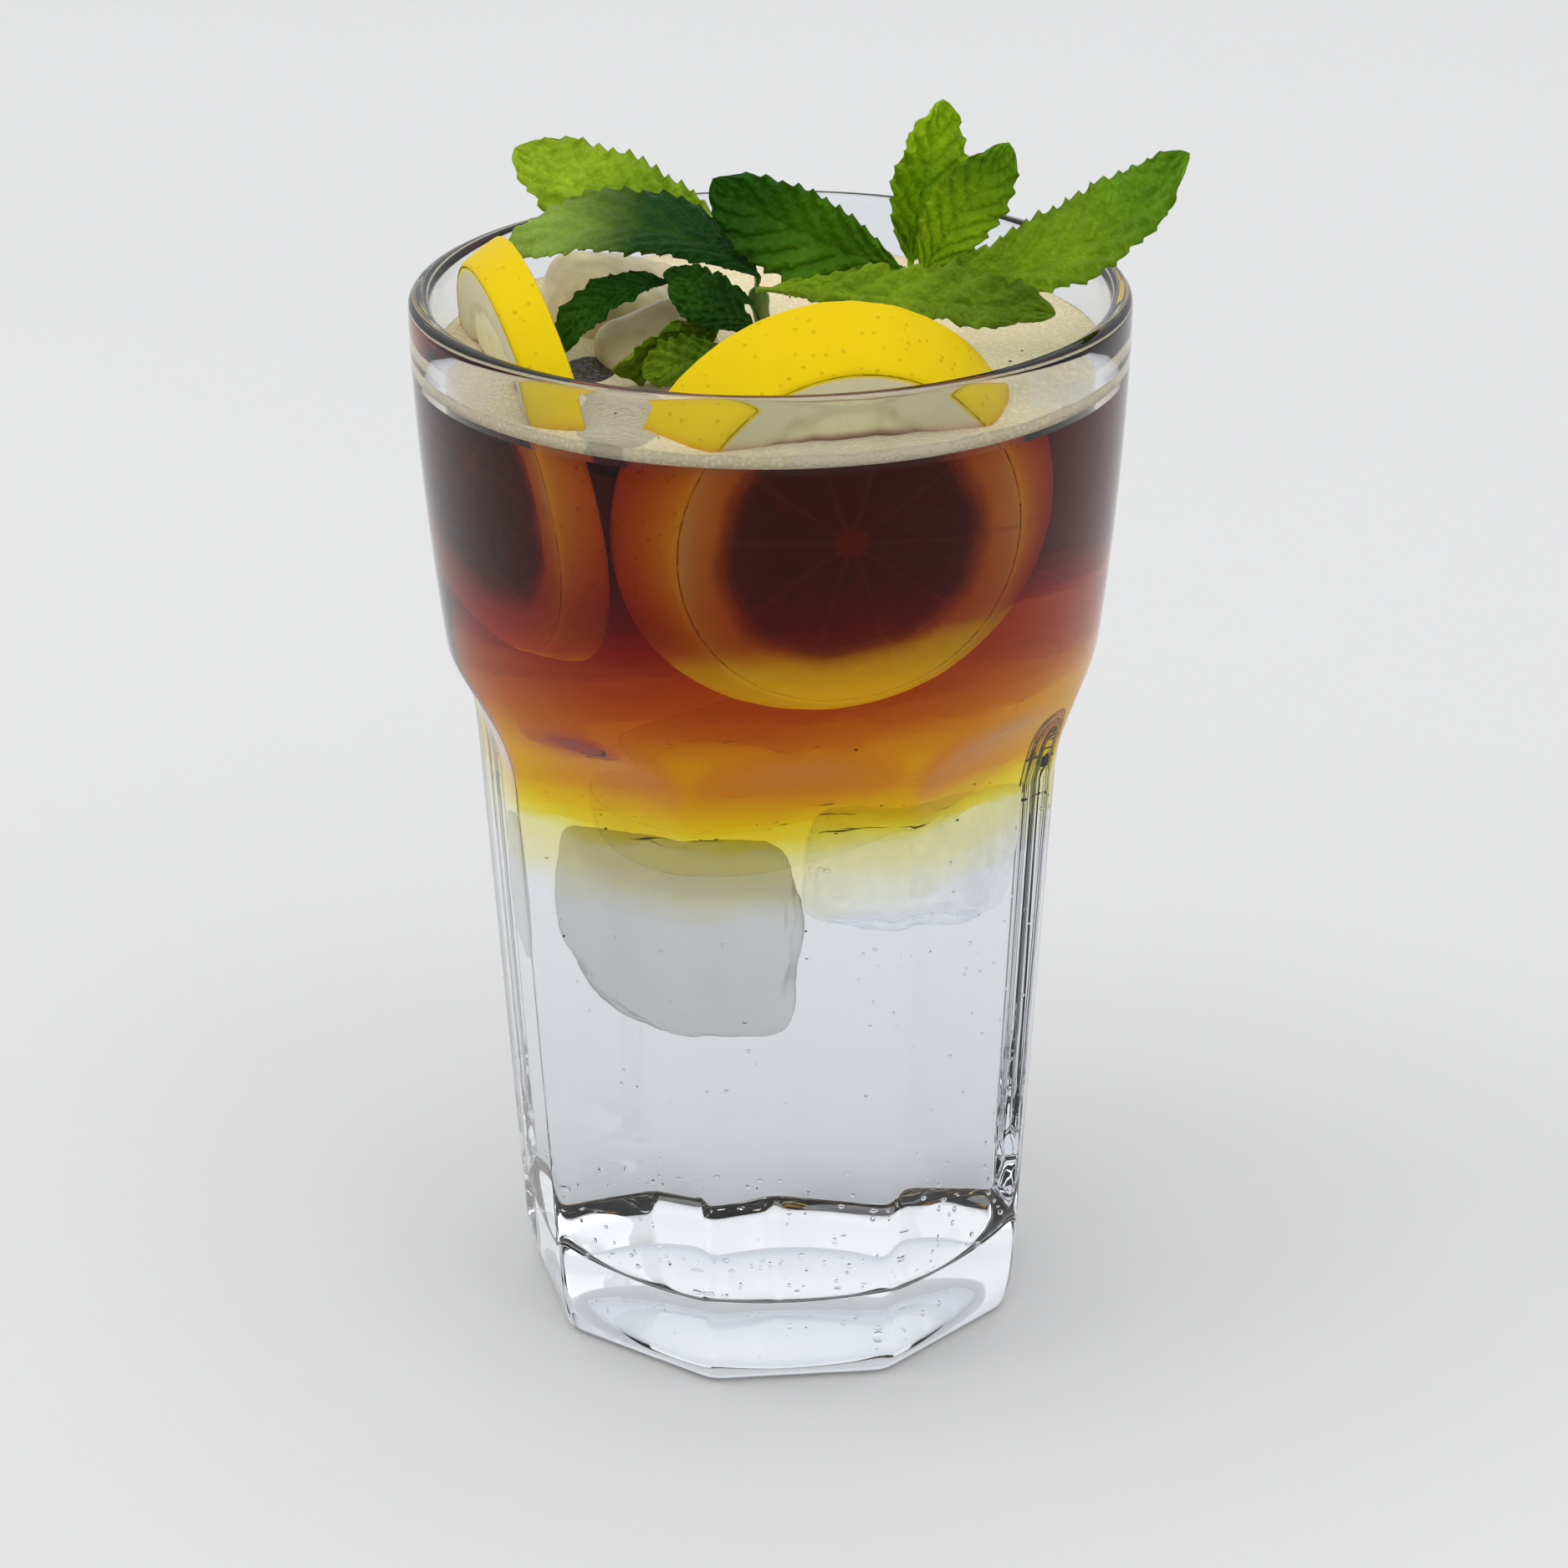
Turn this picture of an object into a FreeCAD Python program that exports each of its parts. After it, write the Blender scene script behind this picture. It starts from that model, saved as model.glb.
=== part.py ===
import FreeCAD, Part
import Sketcher
import math
import os
from FreeCAD import Placement, Rotation, Vector

# A tall facetted glass of espresso tonic: two lemon slices, ice and three mint sprigs stand in it.
# Millimetres. +Z is up, the origin is the middle of the foot, and -Y is the front.

SIZES = [
    # the glass
    ("glass_height", 139.0, "foot to lip"),
    ("rim_radius", 45.0, "outside of the straight band under the lip"),
    ("rim_wall", 2.8, "wall at the lip"),
    ("lip_round", 1.3, "rounding of the lip, inside and outside"),
    ("lip_band", 6.0, "height of the straight band"),
    ("shoulder_depth", 51.7, "lip down to where the round wall starts"),
    ("shoulder_setback", 3.9, "how much narrower the round wall starts"),
    ("wall_curve", 450.0, "radius of the round wall's slight belly"),
    ("panel_count", 9.0, "flat panels around the lower wall"),
    ("panel_foot", 32.46, "axis to panel, carried down to the table"),
    ("panel_lean", 3.2, "degrees that a panel leans outwards"),
    ("panel_turn", -4.87, "degrees that the panels are turned from +X"),
    ("flare_depth", 59.0, "lip down to where a panel curves outwards"),
    ("flare_radius", 21.0, "radius of that curve"),
    ("foot_bevel", 6.5, "height of the rounded edge at the foot"),
    ("foot_inset", 1.05, "how far that edge draws in"),
    ("foot_curve", 20.0, "radius of that edge"),
    ("punt_radius", 25.0, "hollow under the foot"),
    ("punt_height", 1.6, "depth of that hollow"),
    ("floor_height", 10.0, "glass under the drink"),
    ("floor_round", 3.5, "rounding between floor and wall"),
    ("panel_wall", 3.5, "wall behind the panels"),
    ("throat_depth", 41.0, "lip down to where the inside is wide"),
    ("throat_setback", 2.9, "how much narrower the inside is there"),
    # the drink
    ("headspace", 7.6, "lip down to the crema"),
    ("crema_depth", 1.8, "crema, seen as a pale line"),
    ("espresso_depth", 35.6, "dark coffee"),
    ("blend_depth", 12.0, "amber band where coffee meets tonic"),
    # the lemon and its two slices
    ("lemon_round", 28.0, "radius of the whole lemon"),
    ("lemon_squash", 27.2, "the same, across the slice"),
    ("lemon_long", 36.0, "half length of the whole lemon"),
    ("wall_clearance", 0.6, "slice to glass"),
    ("front_slice_from", 13.4, "cut nearest to the lemon's middle"),
    ("front_slice_thick", 10.0, "thickness of the front slice"),
    ("front_slice_angle", 15.0, "degrees from the front towards +X"),
    ("front_slice_lean", 8.0, "degrees that its top leans outwards"),
    ("front_slice_drop", 20.7, "lip down to its middle"),
    ("left_slice_from", 13.4, "cut nearest to the lemon's middle"),
    ("left_slice_thick", 5.5, "thickness of the left slice"),
    ("left_slice_angle", -73.0, "degrees from the front towards +X"),
    ("left_slice_lean", 11.0, "degrees that its top leans outwards"),
    ("left_slice_drop", 18.0, "lip down to its middle"),
    ("low_slice_from", 11.0, "cut nearest to the lemon's middle"),
    ("low_slice_thick", 6.0, "thickness of the sunk slice"),
    ("low_slice_tilt", 20.0, "degrees that its right side is raised"),
    ("low_slice_nod", 8.0, "degrees that its back is raised"),
    ("low_slice_aside", 6.0, "axis to its middle, towards +X"),
    ("low_slice_drop", 58.1, "lip down to its middle"),
    # the ice: two blocks that stand out of the drink and two that are sunk in it
    ("ice_back_size", 21.0, "edge of the ice at the back"),
    ("ice_middle_size", 15.0, "edge of the ice in the middle"),
    ("ice_low_size", 25.0, "edge of the frosted ice lower down"),
    ("ice_clear_size", 20.0, "edge of the clear ice beside it"),
    ("ice_round", 5.0, "melted edges"),
    # mint
    ("stem_radius", 1.0, "stems"),
    ("leaf_thickness", 0.5, "blades"),
    ("leaf_stalk", 0.45, "half width of a leaf's stalk"),
]

# Leaf blades, named after where they lie. Each starts at a place measured from the glass axis and the
# lip, and its midrib runs on a heading, with a climb, a bend and a turn along its length, in degrees.
# roll and twist tip the blade about the midrib, and fold lifts its halves like an open book.
LEAF_COLUMNS = (
    "sprig", "start", "heading", "climb", "length", "width", "roll", "bend", "turn", "twist", "fold"
)
LEAVES = {
    "back_left": ("middle", (-4.3, 5.0, 4.1), 160, 5, 30.9, 15.3, 34, 29, 10, -5, 8),
    "arched_left": ("middle", (-1.5, -6.0, 3.0), 164, 35, 33.7, 16.2, 15, -66, 20, -5, 8),
    "centre": ("right", (16.0, -5.1, 3.6), -181, 14, 25.9, 12.3, 86, 26, 6, 17, 14),
    "top": ("right", (17.4, -1.0, 3.1), 20, 81, 20.6, 10.1, -76, -5, -1, -36, 10),
    "top_front": ("right", (18.8, -5.0, 2.7), -2, 64, 19.9, 9.6, -81, -11, -13, -43, 16),
    "right": ("right", (19.7, -4.0, 2.0), 8, -7, 37.1, 15.1, -26, 66, -12, 1, 12),
    "front_right": ("middle", (-0.4, -12.0, 3.0), -14, -1, 35.4, 10.6, -4, -1, 4, -35, 20),
    "low_left": ("left", (-12.4, -7.0, 2.6), -162, 2, 17.4, 6.6, 20, -63, 0, 8, 22),
    "inner_high": ("left", (-2.2, -11.0, 1.1), 177, 13, 11.4, 5.4, 28, 10, -4, 11, 18),
    "inner_low": ("left", (-1.9, -15.2, -0.8), 174, 22, 11.7, 7.3, 33, 10, -4, 13, 15),
    "front_left": ("left", (-6.0, -13.0, -0.9), -164, -12, 14.5, 9.5, 98, -15, -1, 39, 18),
    "front_small": ("left", (-4.9, -20.0, -2.5), -171, -7, 10.8, 7.5, 28, -10, -2, 11, 15),
}
LEAF_TEETH = 8

# Stems: where the leaves meet, and where the stem ends in the drink, both from the axis and the lip.
STEMS = {
    "right": ((17.6, -3.2, 1.2), (22.0, 10.0, -24.0)),
    "middle": ((-1.6, -4.6, 0.6), (2.0, 9.0, -25.0)),
    "left": ((-1.0, -13.2, -3.2), (-1.0, -5.0, -26.0)),
}

# Ice: place of the middle from the axis and the crema, and its turns about Z, Y and X.
ICE = {
    "ice_back": ((-19.0, 15.5, -4.6), (28, 14, 12)),
    "ice_middle": ((-13.3, -3.4, -2.7), (12, -16, 22)),
    "ice_low": ((-11.0, -4.0, -75.1), (10, 6, 4)),
    "ice_clear": ((14.2, 1.2, -65.7), (-14, 5, -8)),
}

doc = FreeCAD.newDocument("espresso_tonic")
sheet = doc.addObject("Spreadsheet::Sheet", "Sizes")
parts = []


def fill_sheet():
    """Put every driving size in the sheet under its own alias."""
    rows = list(SIZES)
    for name, values in LEAVES.items():
        leaf = dict(zip(LEAF_COLUMNS, values))
        rows.append((f"{name}_length", leaf["length"], f"leaf {name}, along its midrib"))
        rows.append((f"{name}_width", leaf["width"], f"leaf {name}, across"))
    for row, (alias, number, meaning) in enumerate(rows, start=1):
        sheet.set(f"A{row}", alias)
        sheet.set(f"B{row}", str(number))
        sheet.set(f"C{row}", meaning)
        sheet.setAlias(f"B{row}", alias)
    doc.recompute()


def value(expression):
    """The number that an expression over the sheet gives."""
    return float(sheet.evalExpression(expression))


def size(alias):
    return value(f"Sizes.{alias}")


def add_part(label, item):
    item.Label = label
    parts.append(item)
    return item


def new_body(name):
    return doc.addObject("PartDesign::Body", name)


def plane_of(body, role):
    return next(item for item in body.Origin.OriginFeatures if item.Role == role)


def outline(body, name, role, start, steps):
    """A closed sketch whose corners, and the radii of whose arcs, are bound to the sheet.

    start and each step hold expressions: (x, y) for a straight run, and (x, y, radius, side) for an
    arc, whose middle lies to the left (1) or the right (-1) of the run."""
    sketch = body.newObject("Sketcher::SketchObject", name)
    sketch.AttachmentSupport = (plane_of(body, role), [""])
    sketch.MapMode = "FlatFace"
    corner = Vector(value(start[0]), value(start[1]), 0)
    ends = []
    for step in list(steps) + [start]:
        target = Vector(value(step[0]), value(step[1]), 0)
        if len(step) == 4:
            curve, begin = arc(corner, target, value(step[2]), step[3])
        else:
            curve, begin = Part.LineSegment(corner, target), 1
        ends.append((sketch.addGeometry(curve, False), begin, step))
        corner = target
    for place, (index, begin, step) in enumerate(ends):
        following, next_begin, _ = ends[(place + 1) % len(ends)]
        sketch.addConstraint(Sketcher.Constraint("Coincident", index, 3 - begin, following, next_begin))
    for place, (index, begin, step) in enumerate(ends):
        pin(sketch, "DistanceX", index, 3 - begin, f"x{place}", step[0])
        pin(sketch, "DistanceY", index, 3 - begin, f"y{place}", step[1])
        if len(step) == 4:
            number = sketch.addConstraint(Sketcher.Constraint("Radius", index, value(step[2])))
            sketch.renameConstraint(number, f"radius{place}")
            sketch.setExpression(f"Constraints.radius{place}", step[2])
    return sketch


def arc(begin, end, radius, side):
    """The short arc between two corners, and which of its ends, 1 or 2, is the first corner."""
    run = end - begin
    across = Vector(-run.y, run.x, 0).normalize() * side
    centre = (begin + end) * 0.5 - across * math.sqrt(radius ** 2 - (run.Length / 2) ** 2)
    first, second = (begin, end) if side < 0 else (end, begin)
    from_angle = math.atan2(first.y - centre.y, first.x - centre.x)
    to_angle = math.atan2(second.y - centre.y, second.x - centre.x)
    circle = Part.Circle(centre, Vector(0, 0, 1), radius)
    return Part.ArcOfCircle(circle, from_angle, to_angle), (1 if side < 0 else 2)


def pin(sketch, kind, index, end, name, expression):
    """Hold one coordinate of a sketch point at an expression."""
    distance = value(expression)
    if abs(distance) < 1e-9 and expression == "0":
        axis = -2 if kind == "DistanceX" else -1
        sketch.addConstraint(Sketcher.Constraint("PointOnObject", index, end, axis))
        return
    number = sketch.addConstraint(Sketcher.Constraint(kind, -1, 1, index, end, distance))
    sketch.renameConstraint(number, name)
    sketch.setExpression(f"Constraints.{name}", expression)


def revolve(body, sketch, name):
    feature = body.newObject("PartDesign::Revolution", name)
    feature.Profile = sketch
    feature.ReferenceAxis = (sketch, ["V_Axis"])
    feature.Angle = 360.0
    sketch.Visibility = False
    doc.recompute()
    return feature


# ---- the glass ----

HEIGHT = "Sizes.glass_height"
RIM = "Sizes.rim_radius"
LEAN = "tan(Sizes.panel_lean * 1 deg)"
BORE = "(Sizes.rim_radius - Sizes.rim_wall)"
SHOULDER = "(Sizes.glass_height - Sizes.shoulder_depth)"
FLARE = "(Sizes.glass_height - Sizes.flare_depth)"
THROAT = "(Sizes.glass_height - Sizes.throat_depth)"
PANEL_AT_FLARE = f"(Sizes.panel_foot + {FLARE} * {LEAN})"


def glass_outside():
    """The round outside, then one flared panel cut into it and repeated around the axis."""
    body = new_body("GlassOutside")
    wall_foot = f"{RIM} - Sizes.shoulder_setback"
    profile = outline(body, "OutsideProfile", "XZ_Plane", ("0", "Sizes.punt_height"), [
        ("Sizes.punt_radius", "0", punt_curve(), 1),
        (wall_foot, "0"),
        (wall_foot, SHOULDER),
        (RIM, f"{HEIGHT} - Sizes.lip_band", "Sizes.wall_curve", -1),
        (RIM, f"{HEIGHT} - Sizes.lip_round"),
        (f"{RIM} - Sizes.lip_round", HEIGHT, "Sizes.lip_round * 1.0001", -1),
        ("0", HEIGHT),
    ])
    revolve(body, profile, "OutsideTurned")
    panel_at_bevel = f"Sizes.panel_foot + Sizes.foot_bevel * {LEAN}"
    cutter_edge = f"{PANEL_AT_FLARE} + Sizes.flare_radius * cos(Sizes.panel_lean * 1 deg)"
    cutter_top = f"{FLARE} + Sizes.flare_radius * (1 - sin(Sizes.panel_lean * 1 deg))"
    panel = outline(body, "PanelProfile", "XZ_Plane", ("Sizes.panel_foot - Sizes.foot_inset", "-1"), [
        ("Sizes.panel_foot - Sizes.foot_inset", "0"),
        (panel_at_bevel, "Sizes.foot_bevel", "Sizes.foot_curve", -1),
        (PANEL_AT_FLARE, FLARE),
        (cutter_edge, cutter_top, "Sizes.flare_radius", 1),
        (f"{cutter_edge} + {RIM}", cutter_top),
        (f"{cutter_edge} + {RIM}", "-1"),
    ])
    cut = body.newObject("PartDesign::Pocket", "PanelCut")
    cut.Profile = panel
    cut.SideType = "Symmetric"
    cut.Type = "Length"
    cut.setExpression("Length", f"{RIM} * 2")
    panel.Visibility = False
    doc.recompute()
    around = body.newObject("PartDesign::PolarPattern", "PanelsAround")
    around.Originals = [cut]
    around.Axis = (plane_of(body, "Z_Axis"), [""])
    around.Angle = 360.0
    around.setExpression("Occurrences", "Sizes.panel_count")
    body.Tip = around
    doc.recompute()
    body.Placement.Rotation = Rotation(Vector(0, 0, 1), 0)
    body.setExpression("Placement.Rotation.Angle", "Sizes.panel_turn * 1 deg")
    return body


def punt_curve():
    """Radius of the shallow hollow under the foot, from its width and depth."""
    return "(Sizes.punt_radius ^ 2 + Sizes.punt_height ^ 2) / (2 * Sizes.punt_height)"


def glass_inside():
    """The space inside the glass: narrow behind the panels, wide above them."""
    body = new_body("GlassInside")
    narrow_low = f"(Sizes.panel_foot - Sizes.panel_wall + (Sizes.floor_height + Sizes.floor_round) * {LEAN})"
    narrow_high = f"({PANEL_AT_FLARE} - Sizes.panel_wall)"
    wide = f"({BORE} - Sizes.throat_setback)"
    half_out = f"(({wide} - {narrow_high}) / 2)"
    half_up = f"(({THROAT} - {FLARE}) / 2)"
    chord_lean = f"(atan({half_out} / {half_up}) - Sizes.panel_lean * 1 deg)"
    bend = f"(sqrt({half_out} ^ 2 + {half_up} ^ 2) / (2 * sin({chord_lean})))"
    profile = outline(body, "InsideProfile", "XZ_Plane", ("0", "Sizes.floor_height"), [
        (f"{narrow_low} - Sizes.floor_round", "Sizes.floor_height"),
        (narrow_low, "Sizes.floor_height + Sizes.floor_round", "Sizes.floor_round * 1.0001", -1),
        (narrow_high, FLARE),
        (f"{narrow_high} + {half_out}", f"{FLARE} + {half_up}", bend, 1),
        (wide, THROAT, bend, -1),
        (BORE, f"{HEIGHT} - Sizes.lip_round"),
        (f"{BORE} + Sizes.lip_round", HEIGHT, "Sizes.lip_round * 1.0001", 1),
        (f"{BORE} + Sizes.lip_round", f"{HEIGHT} + 1"),
        ("0", f"{HEIGHT} + 1"),
    ])
    revolve(body, profile, "InsideTurned")
    return body


def inside_radius(level):
    """Inside radius of the wide part of the glass at a level, in millimetres."""
    low = value(THROAT)
    high = value(f"{HEIGHT} - Sizes.lip_round")
    share = (level - low) / (high - low)
    return value(f"{BORE} - Sizes.throat_setback") + share * size("throat_setback")


# ---- lemon slices ----

def lemon_cut(key):
    """A slice cut off one end of the lemon."""
    whole = doc.addObject("Part::Ellipsoid", f"{key}_lemon")
    whole.setExpression("Radius1", "Sizes.lemon_long")
    whole.setExpression("Radius2", "Sizes.lemon_squash")
    whole.setExpression("Radius3", "Sizes.lemon_round")
    slab = doc.addObject("Part::Box", f"{key}_slab")
    slab.setExpression("Length", "Sizes.lemon_round * 3")
    slab.setExpression("Width", "Sizes.lemon_round * 3")
    slab.setExpression("Height", f"Sizes.{key}_thick")
    slab.setExpression("Placement.Base.x", "Sizes.lemon_round * -1.5")
    slab.setExpression("Placement.Base.y", "Sizes.lemon_round * -1.5")
    slab.setExpression("Placement.Base.z", f"Sizes.{key}_from")
    cut = doc.addObject("Part::Common", f"{key}_cut")
    cut.Base = whole
    cut.Tool = slab
    doc.recompute()
    return cut


def lemon_slice(label, key):
    """A slice that stands in the drink. Its smaller face looks outwards and its rim stays just clear
    of the glass."""
    cut = lemon_cut(key)
    angle = math.radians(size(f"{key}_angle"))
    lean = math.radians(size(f"{key}_lean"))
    outward = Vector(math.sin(angle), -math.cos(angle), 0)
    tangent = Vector(math.cos(angle), math.sin(angle), 0)
    normal = outward * math.cos(lean) - Vector(0, 0, math.sin(lean))
    upward = outward * math.sin(lean) + Vector(0, 0, math.cos(lean))
    middle = size("glass_height") - size(f"{key}_drop")
    far_cut = size(f"{key}_from") + size(f"{key}_thick")
    far_radius = size("lemon_squash") * math.sqrt(1 - (far_cut / size("lemon_long")) ** 2)
    room = inside_radius(middle) - size("wall_clearance")
    reach = math.sqrt(room ** 2 - far_radius ** 2)
    centre = outward * reach + Vector(0, 0, middle) - normal * far_cut
    cut.Placement = Placement(centre, Rotation(tangent, upward, normal, "ZXY"))
    return add_part(label, cut)


def sunk_slice(label, key):
    """A slice that lies sunk in the drink, with its right side high."""
    cut = lemon_cut(key)
    tilt = Rotation(Vector(0, 1, 0), -size(f"{key}_tilt"))
    nod = Rotation(Vector(1, 0, 0), size(f"{key}_nod"))
    turn = tilt.multiply(nod)
    middle = Vector(size(f"{key}_aside"), 0, size("glass_height") - size(f"{key}_drop"))
    half_way = size(f"{key}_from") + size(f"{key}_thick") / 2
    cut.Placement = Placement(middle - turn.multVec(Vector(0, 0, half_way)), turn)
    return add_part(label, cut)


# ---- ice ----

def ice_block(label):
    """A block with melted edges, in or half out of the drink."""
    offset, turns = ICE[label]
    edge = f"Sizes.{label}_size"
    body = new_body(f"{label}_block")
    half = f"{edge} / 2"
    square = outline(body, f"{label}_square", "XY_Plane", (f"-{half}", f"-{half}"), [
        (half, f"-{half}"),
        (half, half),
        (f"-{half}", half),
    ])
    pad = body.newObject("PartDesign::Pad", f"{label}_pad")
    pad.Profile = square
    pad.SideType = "Symmetric"
    pad.setExpression("Length", f"{edge} * 0.9")
    doc.recompute()
    melt = body.newObject("PartDesign::Fillet", f"{label}_melt")
    melt.Base = (pad, [""])
    melt.UseAllEdges = True
    melt.setExpression("Radius", f"min(Sizes.ice_round; {edge} * 0.4)")
    body.Tip = melt
    square.Visibility = False
    doc.recompute()
    crema = size("glass_height") - size("headspace")
    body.Placement = Placement(Vector(offset[0], offset[1], crema + offset[2]), Rotation(*turns))
    return add_part(label, body)


# ---- mint ----

def from_lip(place):
    """A place measured from the glass axis and the lip."""
    return Vector(place[0], place[1], place[2] + size("glass_height"))


def stem(sprig):
    """A straight stem from where its leaves meet down into the drink."""
    top, foot = (from_lip(place) for place in STEMS[sprig])
    rod = doc.addObject("Part::Cylinder", f"stem_{sprig}_rod")
    rod.setExpression("Radius", "Sizes.stem_radius")
    rod.Height = (top - foot).Length
    rod.Placement = Placement(foot, Rotation(Vector(0, 0, 1), top - foot))
    return add_part(f"stem_{sprig}", rod)


def blade_share(along):
    """Half width of a blade as a share of its widest, with the belly past the middle."""
    if along <= 0 or along >= 1:
        return 0.0
    return 2.794 * along ** 0.85 * (1 - along) ** 0.65


def leaf_rows(name):
    """Rows of five points across the leaf, from the stalk's foot to the tip, with their normals."""
    leaf = dict(zip(LEAF_COLUMNS, LEAVES[name]))
    length = size(f"{name}_length")
    half_width = size(f"{name}_width") / 2
    steps = LEAF_TEETH * 2
    point = from_lip(leaf["start"])
    node = from_lip(STEMS[leaf["sprig"]][0])
    stalk = (point - node).normalize()
    rows = []
    for step in range(steps + 1):
        along = step / steps
        heading = math.radians(leaf["heading"] + leaf["turn"] * along)
        climb = math.radians(leaf["climb"] + leaf["bend"] * along)
        roll = math.radians(leaf["roll"] + leaf["twist"] * along)
        level = Vector(-math.sin(heading), math.cos(heading), 0)
        forward = Vector(math.cos(heading), math.sin(heading), 0) * math.cos(climb)
        forward.z = math.sin(climb)
        above = forward.cross(level)
        normal = above * math.cos(roll) + level * math.sin(roll)
        side = level * math.cos(roll) - above * math.sin(roll)
        if step == 0:
            foot = node + stalk * size("stem_radius")
            rows.append(leaf_row(foot, side, normal, size("leaf_stalk"), 0))
        tooth = 1.0 if step in (0, steps) else (1.07 if step % 2 else 0.92)
        reach = max(half_width * blade_share(along) * tooth, size("leaf_stalk"))
        if step == steps:
            reach = size("leaf_stalk") * 0.5
        rows.append(leaf_row(point, side, normal, reach, math.radians(leaf["fold"])))
        point = point + forward * (length / steps)
    return rows


def leaf_row(point, side, normal, reach, fold):
    row = []
    for share in (-1, -0.5, 0, 0.5, 1):
        across = side * (share * reach * math.cos(fold))
        lifted = normal * (abs(share) * reach * math.sin(fold))
        row.append((point + across + lifted, normal))
    return row


def leaf_blade(name):
    """A thin closed blade with a toothed edge: an upper skin, a lower skin and the edge between."""
    rows = leaf_rows(name)
    half = size("leaf_thickness") / 2
    upper = [[point + normal * half for point, normal in row] for row in rows]
    lower = [[point - normal * half for point, normal in row] for row in rows]
    faces = []

    def quad(first, second, third, fourth):
        faces.append(Part.Face(Part.makePolygon([first, second, third, first])))
        faces.append(Part.Face(Part.makePolygon([first, third, fourth, first])))

    last = len(rows[0]) - 1
    for near in range(len(rows) - 1):
        far = near + 1
        for left in range(last):
            right = left + 1
            quad(upper[near][left], upper[far][left], upper[far][right], upper[near][right])
            quad(lower[near][left], lower[near][right], lower[far][right], lower[far][left])
        quad(upper[near][0], lower[near][0], lower[far][0], upper[far][0])
        quad(upper[near][last], upper[far][last], lower[far][last], lower[near][last])
    for left in range(last):
        right = left + 1
        quad(upper[0][left], upper[0][right], lower[0][right], lower[0][left])
        quad(upper[-1][left], lower[-1][left], lower[-1][right], upper[-1][right])
    solid = Part.Solid(Part.Shell(faces))
    if solid.Volume < 0:
        solid.reverse()
    leaf = doc.addObject("Part::Feature", f"leaf_{name}_blade")
    leaf.Shape = solid
    return add_part(f"leaf_{name}", leaf)


# ---- the drink ----

def layer(label, inside, garnish, bottom, top):
    """One level layer of the drink: what fills the glass between two heights, cut round whatever
    stands in it."""
    slab = doc.addObject("Part::Cylinder", f"{label}_slab")
    slab.setExpression("Radius", f"{RIM} * 1.5")
    slab.setExpression("Height", f"{top} - ({bottom})")
    slab.setExpression("Placement.Base.z", bottom)
    filling = doc.addObject("Part::Common", f"{label}_filling")
    filling.Base = inside
    filling.Tool = slab
    cut = doc.addObject("Part::Cut", f"{label}_cut")
    cut.Base = filling
    cut.Tool = garnish
    doc.recompute()
    return add_part(label, cut)


def check():
    """Stop on anything that failed to build."""
    doc.recompute()
    for item in doc.Objects:
        if "Invalid" in item.State or "Error" in item.State:
            raise RuntimeError(f"{item.Name} is {item.State}")
    for item in parts:
        shape = item.Shape
        if shape.isNull() or not shape.isValid() or not shape.Solids:
            raise RuntimeError(f"{item.Label} has no valid solid")


def main():
    fill_sheet()
    outside = glass_outside()
    inside = glass_inside()
    glass = doc.addObject("Part::Cut", "GlassCut")
    glass.Base = outside
    glass.Tool = inside
    doc.recompute()
    add_part("glass", glass)

    in_drink = [lemon_slice("lemon_slice_front", "front_slice")]
    in_drink.append(lemon_slice("lemon_slice_left", "left_slice"))
    in_drink.append(sunk_slice("lemon_slice_low", "low_slice"))
    in_drink += [ice_block(label) for label in ICE]
    in_drink += [stem(sprig) for sprig in STEMS]
    garnish = doc.addObject("Part::Compound", "Garnish")
    garnish.Links = in_drink
    doc.recompute()
    for name in LEAVES:
        leaf_blade(name)

    crema_top = f"{HEIGHT} - Sizes.headspace"
    crema_foot = f"{crema_top} - Sizes.crema_depth"
    espresso_foot = f"{crema_foot} - Sizes.espresso_depth"
    blend_foot = f"{espresso_foot} - Sizes.blend_depth"
    layer("crema", inside, garnish, crema_foot, crema_top)
    layer("espresso", inside, garnish, espresso_foot, crema_foot)
    layer("blend", inside, garnish, blend_foot, espresso_foot)
    layer("tonic", inside, garnish, "0", blend_foot)

    check()
    os.makedirs("parts", exist_ok=True)
    for item in parts:
        item.Shape.exportStep(f"parts/{item.Label}.step")
        print(item.Label, len(item.Shape.Solids), "solid,", round(item.Shape.Volume, 1), "mm3")


main()
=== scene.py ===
"""An espresso tonic in a panelled glass, with lemon slices, ice and mint."""
import functools
import math

import bpy
from bpy.props import FloatProperty, FloatVectorProperty, IntProperty, PointerProperty
from mathutils import Matrix, Vector, noise


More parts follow.
